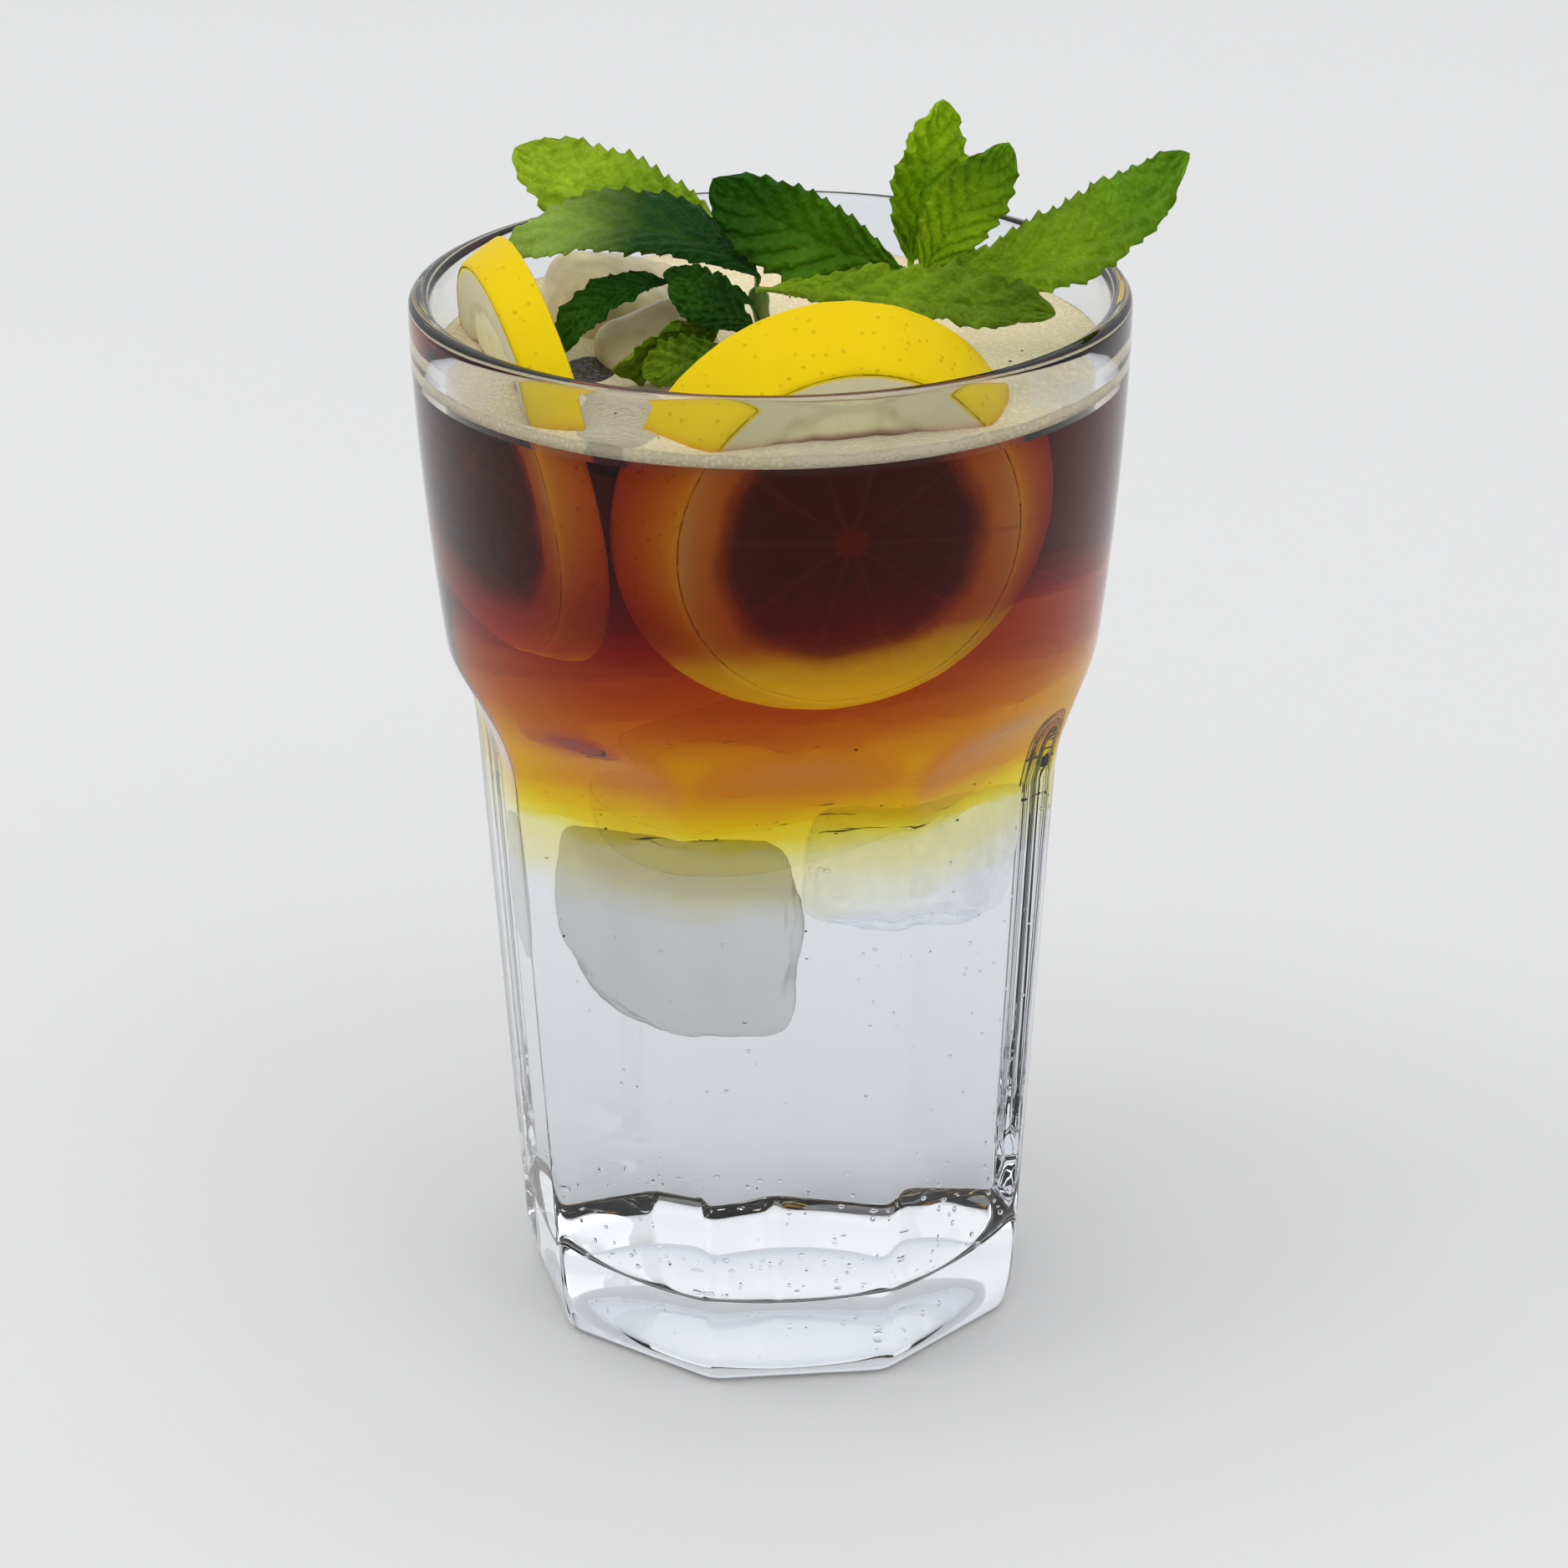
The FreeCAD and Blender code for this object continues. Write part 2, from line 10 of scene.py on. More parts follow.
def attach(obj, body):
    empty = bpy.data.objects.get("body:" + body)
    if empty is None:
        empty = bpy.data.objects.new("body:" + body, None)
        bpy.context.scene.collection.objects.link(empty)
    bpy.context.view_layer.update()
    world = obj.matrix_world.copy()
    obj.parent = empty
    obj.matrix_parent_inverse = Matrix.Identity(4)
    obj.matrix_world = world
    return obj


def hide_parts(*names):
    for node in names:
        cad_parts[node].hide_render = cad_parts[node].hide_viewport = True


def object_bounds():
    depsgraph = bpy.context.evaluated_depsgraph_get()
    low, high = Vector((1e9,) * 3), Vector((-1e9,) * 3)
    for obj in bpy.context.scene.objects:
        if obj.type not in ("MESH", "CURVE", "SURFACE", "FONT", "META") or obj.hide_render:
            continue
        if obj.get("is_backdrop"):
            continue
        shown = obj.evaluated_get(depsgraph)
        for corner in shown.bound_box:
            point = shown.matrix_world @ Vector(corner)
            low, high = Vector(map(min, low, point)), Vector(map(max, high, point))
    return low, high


bl_info = {
    "name": "Espresso tonic",
    "version": (1, 0, 0),
    "blender": (4, 5, 0),
    "location": "View3D > Sidebar > Espresso tonic",
    "description": "Builds a glass of espresso tonic with lemon, ice and mint",
    "category": "Object",
}

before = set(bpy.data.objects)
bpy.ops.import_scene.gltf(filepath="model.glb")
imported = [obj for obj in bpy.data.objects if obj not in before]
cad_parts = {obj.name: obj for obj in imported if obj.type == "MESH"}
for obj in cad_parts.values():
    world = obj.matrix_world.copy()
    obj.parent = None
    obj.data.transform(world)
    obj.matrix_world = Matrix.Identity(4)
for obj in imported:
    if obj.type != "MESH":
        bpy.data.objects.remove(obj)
CAD_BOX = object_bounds()

MM = 0.001
ON_AXIS = 1e-9
UP = Vector((0, 0, 1))

# ---- the glass, in millimetres ----

GLASS_HEIGHT = 139.0
RIM_RADIUS = 45.0
SHOULDER_RADIUS = 41.1
SHOULDER_HEIGHT = 87.3
WALL_CURVE = 450.0
LIP_BAND = 6.0
LIP_ROUND = 1.3
PANEL_FOOT = 32.46
PANEL_LEAN = math.radians(3.2)
FOOT_BEVEL = 6.5
FOOT_INSET = 1.05
FLARE_HEIGHT = 80.0
FLARE_CENTRE = (57.90, 78.83)
FLARE_RADIUS = 21.0
PUNT_RADIUS = 25.0
PUNT_HEIGHT = 1.6
FLOOR_HEIGHT = 10.0
FLOOR_ROUND = 3.5
BORE_FOOT = 29.71
FLOOR_CORNER = (BORE_FOOT - FLOOR_ROUND, FLOOR_HEIGHT + FLOOR_ROUND)
BORE_FLARE = 33.43
BORE_WIDE = 39.3
BORE_LIP = 42.2
THROAT_HEIGHT = 98.0
THROAT_MIDDLE = 89.0
THROAT_RADIUS = 18.46
THROAT_LOW_CENTRE = (51.87, 78.97)
THROAT_HIGH_CENTRE = (20.87, 99.03)
GLASS_IOR = 1.45
GLASS_TINT = (0.885, 0.912, 0.945)
# Where the columns of one panel stand, in degrees from its edge: close together at the edge.
PANEL_COLUMNS = (0, 0.35, 0.75, 1.25, 1.9, 2.8, 4.2, 6.2, 8.4, 10.7, 13, 15.4, 17.7)

# ---- the drink ----

CREMA_TOP = 131.4
CREMA_FOOT = 129.9
DRINK_TOP = 130.4
DRINK_IOR = 1.333
WET_FROM = FLOOR_HEIGHT - 0.1
WET_TO = CREMA_FOOT + 0.4
# What fills the glass reaches this far into the wall, and each layer laps the next by a hair.
WALL_REACH = 0.15
LAYER_LAP = 0.04
# Foot, lean towards X and Y, height of the ripples and seed of each layer's underside.
LAYERS = {
    "pale": (67.0, (0.05, -0.02), 2.2, 5.9),
    "gold": (75.5, (0.07, -0.04), 2.0, 3.1),
    "amber": (89.0, (0.09, -0.08), 1.8, 7.7),
    "espresso": (101.0, (0.11, -0.11), 1.6, 12.3),
}

# ---- the lemon ----

LEMON_ROUND = 28.0
LEMON_SQUASH = 27.2
LEMON_LONG = 36.0
WALL_CLEARANCE = 0.6
SEGMENTS = 10
PULP_ROUND = 26.0
# Distance of the near face from the lemon's middle, thickness, angle, lean and depth under the
# lip of each slice that stands at the wall.
STANDING_SLICES = {
    "front": (13.4, 10.0, 15.0, 8.0, 20.7),
    "left": (13.4, 5.5, -73.0, 11.0, 18.0),
}
# The sunk slice has its distance, thickness, tilt, nod, place beside the axis and depth.
SUNK_SLICE = (11.0, 6.0, 20.0, 8.0, 6.0, 58.1)
# Heights between which coffee stains a slice, between which its colour is painted a bright gold that
# stands in for light coloured by the golden layer, and between which its rind is painted with emitted
# light that stands in for light shining through it.
STAINED = (96.0, 112.0)
PAINTED_GOLD_HEIGHTS = (104.0, 92.0)
PAINTED_GLOW_HEIGHTS = (108.0, 92.0)
# How far out the rings of points on a slice's face stand, as shares of its radius.
FACE_SHARES = (0, 0.06, 0.12, 0.2, 0.28, 0.36, 0.44, 0.52, 0.6, 0.65, 0.69, 0.72, 0.75, 0.78, 0.81, 0.84,
               0.87, 0.9, 0.93, 0.955, 0.972, 0.985)
PEEL_SHARE = 0.972
# Radius of the edges of the near and the far face, and how round they are.
NEAR_EDGE = 26.0
FAR_EDGE = 22.0
EDGE_ROUND = 0.5

# ---- ice: middle from the axis and the crema, turns about Z, Y and X, and edge ----

ICE = {
    "ice_back": ((-19.0, 15.5, -4.6), (28, 14, 12), 21.0),
    "ice_middle": ((-13.3, -3.4, -2.7), (12, -16, 22), 15.0),
    "ice_low": ((-11.0, -4.0, -75.1), (10, 6, 4), 25.0),
    "ice_clear": ((14.2, 1.2, -65.7), (-14, 5, -8), 20.0),
}

# ---- the mint: the same rule as the solid blades, with finer rows ----

LEAF_COLUMNS = ("sprig", "start", "heading", "climb", "length", "width",
                "roll", "bend", "turn", "twist", "fold")
LEAVES = {
    "back_left": ("middle", (-4.3, 5.0, 4.1), 160, 5, 30.9, 15.3, 34, 29, 10, -5, 8),
    "arched_left": ("middle", (-1.5, -6.0, 3.0), 164, 35, 33.7, 16.2, 15, -66, 20, -5, 8),
    "centre": ("right", (16.0, -5.1, 3.6), -181, 14, 25.9, 12.3, 86, 26, 6, 17, 14),
    "top": ("right", (17.4, -1.0, 3.1), 20, 81, 20.6, 10.1, -76, -5, -1, -36, 10),
    "top_front": ("right", (18.8, -5.0, 2.7), -2, 64, 19.9, 9.6, -81, -11, -13, -43, 16),
    "right": ("right", (19.7, -4.0, 2.0), 8, -7, 37.1, 15.1, -26, 66, -12, 1, 12),
    "front_right": ("middle", (-0.4, -12.0, 3.0), -14, -1, 35.4, 10.6, -4, -1, 4, -35, 20),
    "low_left": ("left", (-12.4, -7.0, 2.6), -162, 2, 17.4, 6.6, 20, -63, 0, 8, 22),
    "inner_high": ("left", (-2.2, -11.0, 1.1), 177, 13, 11.4, 5.4, 28, 10, -4, 11, 18),
    "inner_low": ("left", (-1.9, -15.2, -0.8), 174, 22, 11.7, 7.3, 33, 10, -4, 13, 15),
    "front_left": ("left", (-6.0, -13.0, -0.9), -164, -12, 14.5, 9.5, 98, -15, -1, 39, 18),
    "front_small": ("left", (-4.9, -20.0, -2.5), -171, -7, 10.8, 7.5, 28, -10, -2, 11, 15),
}
STEMS = {
    "right": ((17.6, -3.2, 1.2), (22.0, 10.0, -24.0)),
    "middle": ((-1.6, -4.6, 0.6), (2.0, 9.0, -25.0)),
    "left": ((-1.0, -13.2, -3.2), (-1.0, -5.0, -26.0)),
}
LEAF_THICKNESS = 0.34
TOOTH_LENGTH = 2.1
STEM_RADIUS = 0.95
STALK_ROWS = 6
STALK_REACH = 0.42
# Greens of each blade at its stalk and at its tip, and how strongly it is crinkled. The greens are partly
# each blade's own colour and partly painted light and shade: blades lit from behind are painted bright
# yellow-green, blades among and under the others are painted dark, and some blades are painted darker at
# one end.
LEAF_GREENS_LIT_AND_SHADED = {
    "back_left": ((0.25, 0.40, 0.010), (0.33, 0.47, 0.016), 1.0),
    "arched_left": ((0.006, 0.050, 0.002), (0.25, 0.37, 0.050), 0.7),
    "centre": ((0.075, 0.210, 0.005), (0.022, 0.100, 0.003), 1.0),
    "top": ((0.22, 0.42, 0.004), (0.30, 0.50, 0.006), 1.1),
    "top_front": ((0.24, 0.41, 0.004), (0.13, 0.29, 0.003), 0.9),
    "right": ((0.20, 0.34, 0.005), (0.12, 0.27, 0.004), 0.9),
    "front_right": ((0.20, 0.32, 0.008), (0.12, 0.20, 0.006), 1.4),
    "low_left": ((0.016, 0.080, 0.003), (0.030, 0.110, 0.004), 1.0),
    "inner_high": ((0.014, 0.070, 0.003), (0.016, 0.075, 0.003), 1.0),
    "inner_low": ((0.012, 0.060, 0.003), (0.020, 0.085, 0.003), 1.0),
    "front_left": ((0.11, 0.19, 0.004), (0.14, 0.22, 0.004), 1.0),
    "front_small": ((0.080, 0.160, 0.004), (0.14, 0.22, 0.005), 1.0),
}

# ---- the stage ----

# The floor is in millimetres and lies just under the foot. The camera is in metres and degrees.
FLOOR_SIDE = 4000.0
FLOOR_LEVEL = -0.3
CAMERA_PLACE = (0.00135, -0.4858, 0.2860)
CAMERA_DOWN = 23.856
CAMERA_ROLL = -0.33
CAMERA_LENS = 93.0
BACKDROP = 0.80
NOISE_LIMIT = 0.04
BOUNCES = {"max_bounces": 18, "transmission_bounces": 16, "glossy_bounces": 8, "diffuse_bounces": 3,
           "transparent_max_bounces": 16}


# ---- node helpers ----

class Value:
    """One output of a node. Its operators add Math nodes to the same tree."""

    def __init__(self, tree, socket):
        self.tree = tree
        self.socket = socket

    def math(self, operation, *others):
        return put(self.tree, "ShaderNodeMath", {"operation": operation}, (self, *others))

    def __add__(self, other):
        return self.math("ADD", other)

    __radd__ = __add__

    def __mul__(self, other):
        return self.math("MULTIPLY", other)

    __rmul__ = __mul__

    def __sub__(self, other):
        return self.math("SUBTRACT", other)

    def __rsub__(self, other):
        return (self * -1) + other

    def __truediv__(self, other):
        return self.math("DIVIDE", other)

    def __rtruediv__(self, other):
        return put(self.tree, "ShaderNodeMath", {"operation": "DIVIDE"}, (other, self))

    def __pow__(self, other):
        return self.math("POWER", other)

    def ramp(self, low, high):
        """This value as a share of the way from low to high, smoothed."""
        return put(self.tree, "ShaderNodeMapRange", {"interpolation_type": "SMOOTHSTEP"},
                   {"Value": self, "From Min": low, "From Max": high})


def put(tree, kind, settings=None, inputs=(), output=0):
    """Adds one node: its settings, then the values or links of its sockets."""
    node = tree.nodes.new(kind)
    for name, value in (settings or {}).items():
        setattr(node, name, value)
    pairs = inputs.items() if isinstance(inputs, dict) else enumerate(inputs)
    for key, value in pairs:
        socket = node.inputs[key]
        if isinstance(value, Value):
            tree.links.new(value.socket, socket)
        else:
            socket.default_value = value
    return Value(tree, node.outputs[output])


def colour4(colour):
    return (*colour, 1.0) if len(colour) == 3 else colour


class Finish:
    """A material with one Principled shader, and the patterns that its colours come from."""

    def __init__(self, name, **sockets):
        self.material = bpy.data.materials.new(name)
        self.material.use_nodes = True
        self.tree = self.material.node_tree
        self.tree.nodes.clear()
        self.output = self.tree.nodes.new("ShaderNodeOutputMaterial")
        self.shader = self.tree.nodes.new("ShaderNodeBsdfPrincipled")
        self.tree.links.new(self.shader.outputs[0], self.output.inputs["Surface"])
        self.place = put(self.tree, "ShaderNodeTexCoord", output="Object")
        self.set(**sockets)

    def set(self, shader=None, **sockets):
        shader = shader or self.shader
        for key, value in sockets.items():
            socket = shader.inputs[key.replace("_", " ").title().replace("Ior", "IOR")]
            if isinstance(value, Value):
                self.tree.links.new(value.socket, socket)
            else:
                socket.default_value = colour4(value) if isinstance(value, tuple) else value

    def stretch(self, vector, scale):
        return put(self.tree, "ShaderNodeVectorMath", {"operation": "MULTIPLY"}, (vector, scale))

    def noise(self, scale, detail=3.0, rough=0.55, vector=None):
        return put(self.tree, "ShaderNodeTexNoise", None,
                   {"Vector": vector or self.place, "Scale": scale, "Detail": detail, "Roughness": rough})

    def cells(self, scale):
        return put(self.tree, "ShaderNodeTexVoronoi", None, {"Vector": self.place, "Scale": scale})

    def mix(self, factor, low, high, blend="MIX"):
        low, high = (c if isinstance(c, Value) else colour4(c) for c in (low, high))
        return put(self.tree, "ShaderNodeMix", {"data_type": "RGBA", "blend_type": blend},
                   {0: factor, 6: low, 7: high}, 2)

    def attribute(self, name, output="Fac"):
        return put(self.tree, "ShaderNodeAttribute", {"attribute_name": name}, output=output)

    def part(self, axis):
        """One coordinate of the object's own space."""
        return put(self.tree, "ShaderNodeSeparateXYZ", None, (self.place,), "XYZ".index(axis))

    def bump(self, height, strength, distance):
        """Relief on the surface. distance is its depth in metres."""
        return put(self.tree, "ShaderNodeBump", None,
                   {"Strength": strength, "Distance": distance, "Height": height})

    def blend(self, factor, **sockets):
        """Mixes a second shader with these sockets over the first one, by factor."""
        second = self.tree.nodes.new("ShaderNodeBsdfPrincipled")
        self.set(second, **sockets)
        both = (Value(self.tree, shader.outputs[0]) for shader in (self.shader, second))
        mixed = put(self.tree, "ShaderNodeMixShader", None, (factor, *both))
        self.tree.links.new(mixed.socket, self.output.inputs["Surface"])

    def absorb(self, colour, density):
        """Colours light by how far it goes through the piece. density is for each metre."""
        inside = put(self.tree, "ShaderNodeVolumeAbsorption", None,
                     {"Color": colour4(colour), "Density": density})
        self.tree.links.new(inside.socket, self.output.inputs["Volume"])


# ---- mesh helpers ----

def blank_piece(name, points, faces):
    """A plain mesh object at the origin, from points in millimetres."""
    mesh = bpy.data.meshes.new(name)
    mesh.from_pydata([tuple(c * MM for c in p) for p in points], [], faces)
    piece = bpy.data.objects.new(name, mesh)
    bpy.context.scene.collection.objects.link(piece)
    return piece


def new_piece(name, points, faces, finish, slot, *nodes):
    """A finished piece that rides on the one body and stands for the nodes named."""
    piece = blank_piece(name, points, faces)
    piece.data.validate()
    piece.data.update()
    piece.data.shade_smooth()
    piece.data.materials.append(finish.material)
    declare(piece, slot, *nodes)
    return piece


def declare(piece, slot, *nodes):
    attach(piece, "root")
    if nodes:
        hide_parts(*nodes)


def add_floats(piece, name, values):
    attribute = piece.data.attributes.new(name, "FLOAT", "POINT")
    attribute.data.foreach_set("value", values)


def add_colours(piece, name, values):
    attribute = piece.data.attributes.new(name, "FLOAT_COLOR", "POINT")
    attribute.data.foreach_set("color", [c for colour in values for c in (*colour, 1.0)])


def join_rings(rings, flip=False):
    """Faces between each ring of points and the next. A pole is a ring that repeats one point."""
    faces = []
    for low, high in zip(rings, rings[1:]):
        for k in range(len(low)):
            n = (k + 1) % len(low)
            around = (low[k], high[k], high[n], low[n]) if flip else (low[k], low[n], high[n], high[k])
            faces.append(tuple(dict.fromkeys(around)))
    return faces


def turned(radius, angle, height):
    return radius * math.cos(angle), radius * math.sin(angle), height


def lathe(profile, angles, place=turned):
    """Points and faces of a closed body turned about the axis. profile runs from the bottom's middle,
    out, up and back to the top's middle; place gives each point from radius, angle and height."""
    points, rings = [], []
    for radius, height in profile:
        start = len(points)
        if radius <= ON_AXIS:
            rings.append([start] * len(angles))
            points.append(place(0.0, 0.0, height))
        else:
            rings.append(range(start, start + len(angles)))
            points.extend(place(radius, angle, height) for angle in angles)
    return points, join_rings(rings)


def even_angles(count):
    return [2 * math.pi * k / count for k in range(count)]


def arc_points(centre, radius, start, end, steps):
    """Points on an arc between two directions in degrees, both ends included."""
    turns = [math.radians(start + (end - start) * k / steps) for k in range(steps + 1)]
    return [(centre[0] + radius * math.cos(t), centre[1] + radius * math.sin(t)) for t in turns]


def smooth_step(value, low, high):
    share = min(max((value - low) / (high - low), 0.0), 1.0)
    return share * share * (3 - 2 * share)


def bore_radius(height):
    """Radius of the space inside the glass at a height."""
    inner, corner = FLOOR_CORNER
    if height <= corner:
        return inner + math.sqrt(max(FLOOR_ROUND ** 2 - (corner - height) ** 2, 0))
    if height <= FLARE_HEIGHT:
        share = (height - corner) / (FLARE_HEIGHT - corner)
        return BORE_FOOT + (BORE_FLARE - BORE_FOOT) * share
    if height <= THROAT_MIDDLE:
        r, z = THROAT_LOW_CENTRE
        return r - math.sqrt(THROAT_RADIUS ** 2 - (height - z) ** 2)
    if height <= THROAT_HEIGHT:
        r, z = THROAT_HIGH_CENTRE
        return r + math.sqrt(THROAT_RADIUS ** 2 - (height - z) ** 2)
    share = (height - THROAT_HEIGHT) / (GLASS_HEIGHT - LIP_ROUND - THROAT_HEIGHT)
    return BORE_WIDE + (BORE_LIP - BORE_WIDE) * share


def wall_radius(height):
    """Radius of the round outside wall at a height."""
    top = GLASS_HEIGHT - LIP_BAND
    if height <= SHOULDER_HEIGHT:
        return SHOULDER_RADIUS
    if height >= top:
        return RIM_RADIUS
    share = (height - SHOULDER_HEIGHT) / (top - SHOULDER_HEIGHT)
    chord = math.hypot(RIM_RADIUS - SHOULDER_RADIUS, top - SHOULDER_HEIGHT)
    sag = share * (1 - share) * chord ** 2 / (2 * WALL_CURVE)
    return SHOULDER_RADIUS + (RIM_RADIUS - SHOULDER_RADIUS) * share + sag


# ---- the glass ----

def glass_profile():
    """The glass before its panels are pressed, from the middle of its foot over the lip to the
    middle of its floor. The last number says whether the point is on the outside."""
    sphere = (PUNT_RADIUS ** 2 + PUNT_HEIGHT ** 2) / (2 * PUNT_HEIGHT)
    punt = [PUNT_RADIUS * k / 8 for k in range(9)]
    rows = [(r, PUNT_HEIGHT - sphere + math.sqrt(sphere ** 2 - r ** 2), 1) for r in punt]
    rows += [(26.5, 0, 1), (28.5, 0, 1), (29.8, 0, 1), (SHOULDER_RADIUS, 0, 1)]
    heights = [0.05, 0.15, 0.3, 0.5, 0.8, 1.4, 2.4, 3.6, 5, 6.5, 8, 10, 14]
    heights += [20, 27, 34, 41, 48, 55, 62, 68, 73, 77]
    heights += [80 + 0.75 * k for k in range(32)]
    heights += [*range(106, 134, 3), 135.5]
    rows += [(wall_radius(z), z, 1) for z in heights]
    lip = GLASS_HEIGHT - LIP_ROUND
    rows += [(r, z, 1) for r, z in arc_points((RIM_RADIUS - LIP_ROUND, lip), LIP_ROUND, 0, 90, 6)]
    rows += [(r, z, 0) for r, z in arc_points((BORE_LIP + LIP_ROUND, lip), LIP_ROUND, 90, 180, 6)]
    inside = [*range(135, 101, -3), 100, *(98 - 1.5 * k for k in range(13)), 77]
    inside += [*range(72, 23, -6), 19, 15.5, 13.5]
    rows += [(bore_radius(z), z, 0) for z in inside]
    rows += [(r, z, 0) for r, z in arc_points(FLOOR_CORNER, FLOOR_ROUND, -10, -90, 7)]
    rows += [(r, FLOOR_HEIGHT, 0) for r in (22, 17, 12, 7, 3, 0)]
    return rows


def name_inputs(tree, kinds):
    """Gives a tree a geometry input and output, and an input of each kind under its name. Returns the
    inputs' values, their identifiers and the output node."""
    face = tree.interface
    face.new_socket("Geometry", in_out="INPUT", socket_type="NodeSocketGeometry")
    sockets = {name: face.new_socket(name, in_out="INPUT", socket_type=f"NodeSocket{kind}")
               for name, kind in kinds.items()}
    face.new_socket("Geometry", in_out="OUTPUT", socket_type="NodeSocketGeometry")
    start = tree.nodes.new("NodeGroupInput")
    given = {output.name: Value(tree, output) for output in start.outputs if output.name}
    keys = {name: socket.identifier for name, socket in sockets.items()}
    return given, keys, tree.nodes.new("NodeGroupOutput")


def press_tree(sizes):
    """Geometry nodes that press the flat panels into the round outside."""
    tree = bpy.data.node_groups.new("press_panels", "GeometryNodeTree")
    given, keys, end = name_inputs(tree, {**dict.fromkeys(sizes, "Float"), "Material": "Material"})
    spot = put(tree, "GeometryNodeInputPosition")
    x, y, z = (put(tree, "ShaderNodeSeparateXYZ", None, (spot,), k) for k in range(3))
    radius = (x * x + y * y) ** 0.5
    angle = y.math("ARCTAN2", x)
    step = 2 * math.pi / given["Panel count"]
    folded = (angle - given["Panel turn"] + step / 2).math("FLOORED_MODULO", step) - step / 2
    plain = given["Panel foot"] + z * given["Panel lean"].math("TANGENT")
    low = (given["Foot bevel"] - z).math("MAXIMUM", 0.0) / given["Foot bevel"]
    edge = given["Foot edge"]
    drop = (edge - z).math("MAXIMUM", 0.0)
    rounding = edge - (edge * edge - drop * drop).math("MAXIMUM", 0.0) ** 0.5
    rise = z - given["Flare centre height"]
    reach = given["Flare radius"]
    flare = given["Flare centre"] - (reach * reach - rise * rise).math("MAXIMUM", 0.0) ** 0.5
    high = z.math("GREATER_THAN", given["Flare height"])
    flat = plain - given["Foot inset"] * low * low - rounding
    apothem = flat + (flare - flat) * high
    ratio = radius / apothem
    power = given["Edge sharpness"]
    near = (ratio * folded.math("COSINE")).math("MAXIMUM", 0.001) ** power
    next_panel = step - folded.math("ABSOLUTE")
    far = (ratio * next_panel.math("COSINE")).math("MAXIMUM", 0.001) ** power
    shrink = 1 / ((near + far + 1) ** (1 / power))
    outside = put(tree, "GeometryNodeInputNamedAttribute", {"data_type": "FLOAT"}, {"Name": "outside"})
    factor = 1 + (shrink - 1) * outside
    moved = put(tree, "ShaderNodeCombineXYZ", None, (x * factor, y * factor, z))
    pressed = put(tree, "GeometryNodeSetPosition", None, {0: given["Geometry"], "Position": moved})
    real = put(tree, "GeometryNodeRealizeInstances", None, (pressed,))
    painted = put(tree, "GeometryNodeSetMaterial", None, {0: real, "Material": given["Material"]})
    tree.links.new(painted.socket, end.inputs[0])
    return tree, keys


def apply_tree(piece, tree, keys, values):
    """Runs geometry nodes on the piece and keeps the result as its plain mesh."""
    modifier = piece.modifiers.new(tree.name, "NODES")
    modifier.node_group = tree
    for name, value in values.items():
        modifier[keys[name]] = value
    bpy.context.view_layer.update()
    shaped = piece.evaluated_get(bpy.context.evaluated_depsgraph_get())
    mesh = bpy.data.meshes.new_from_object(shaped)
    piece.modifiers.clear()
    piece.data = mesh


def glass_finish(name, ior, tint):
    """Clear glass. Where the drink wets it, ior is that of glass over that of the drink."""
    finish = Finish(name, base_color=tint, roughness=0.0, ior=ior, specular_tint=(0.3, 0.3, 0.3),
                    transmission_weight=1.0)
    ripple = finish.noise(28.0, 2.0, 0.5)
    finish.set(normal=finish.bump(ripple, 0.15, 0.0004))
    return finish


def build_glass(sizes):
    half = [math.radians(a) for a in PANEL_COLUMNS]
    step = 2 * math.pi / sizes.panel_count
    one = half + [step / 2] + [step - a for a in reversed(half[1:])]
    angles = [sizes.panel_turn + step * (k - 0.5) + a for k in range(sizes.panel_count) for a in one]
    rows = glass_profile()
    points, faces = lathe([(r, z) for r, z, _ in rows], angles)
    finish = glass_finish("clear_glass", GLASS_IOR, GLASS_TINT)
    piece = blank_piece("tumbler", points, faces)
    flags = []
    for radius, _, side in rows:
        flags += [float(side)] * (1 if radius <= ON_AXIS else len(angles))
    add_floats(piece, "outside", flags)
    values = {
        "Panel count": float(sizes.panel_count),
        "Panel turn": sizes.panel_turn,
        "Panel foot": PANEL_FOOT * MM,
        "Panel lean": PANEL_LEAN,
        "Foot bevel": FOOT_BEVEL * MM,
        "Foot inset": FOOT_INSET * MM,
        "Foot edge": sizes.foot_edge,
        "Flare height": FLARE_HEIGHT * MM,
        "Flare centre": FLARE_CENTRE[0] * MM,
        "Flare centre height": FLARE_CENTRE[1] * MM,
        "Flare radius": FLARE_RADIUS * MM,
        "Edge sharpness": sizes.edge_sharpness,
    }
    tree, keys = press_tree(values)
    apply_tree(piece, tree, keys, {**values, "Material": finish.material})
    piece.data.attributes.remove(piece.data.attributes["outside"])
    piece.data.shade_smooth()
    wetted = glass_finish("wetted_glass", GLASS_IOR / DRINK_IOR, (1.0, 1.0, 1.0))
    piece.data.materials.append(wetted.material)
    for face in piece.data.polygons:
        middle = face.center / MM
        reach = math.hypot(middle.x, middle.y)
        if WET_FROM < middle.z < WET_TO and reach < bore_radius(middle.z) + WALL_REACH:
            face.material_index = 1
    declare(piece, "glass", "glass")


# ---- the drink ----

def underside(layer, x, y):
    """Height of a layer's lower face, which leans and ripples."""
    foot, slope, swirl, seed = LAYERS[layer]
    wave = noise.noise(Vector((x * 0.09 + seed, y * 0.09, seed)))
    wave += 0.5 * noise.noise(Vector((x * 0.22, y * 0.22 + seed, seed)))
    return foot + slope[0] * x + slope[1] * y + swirl * wave


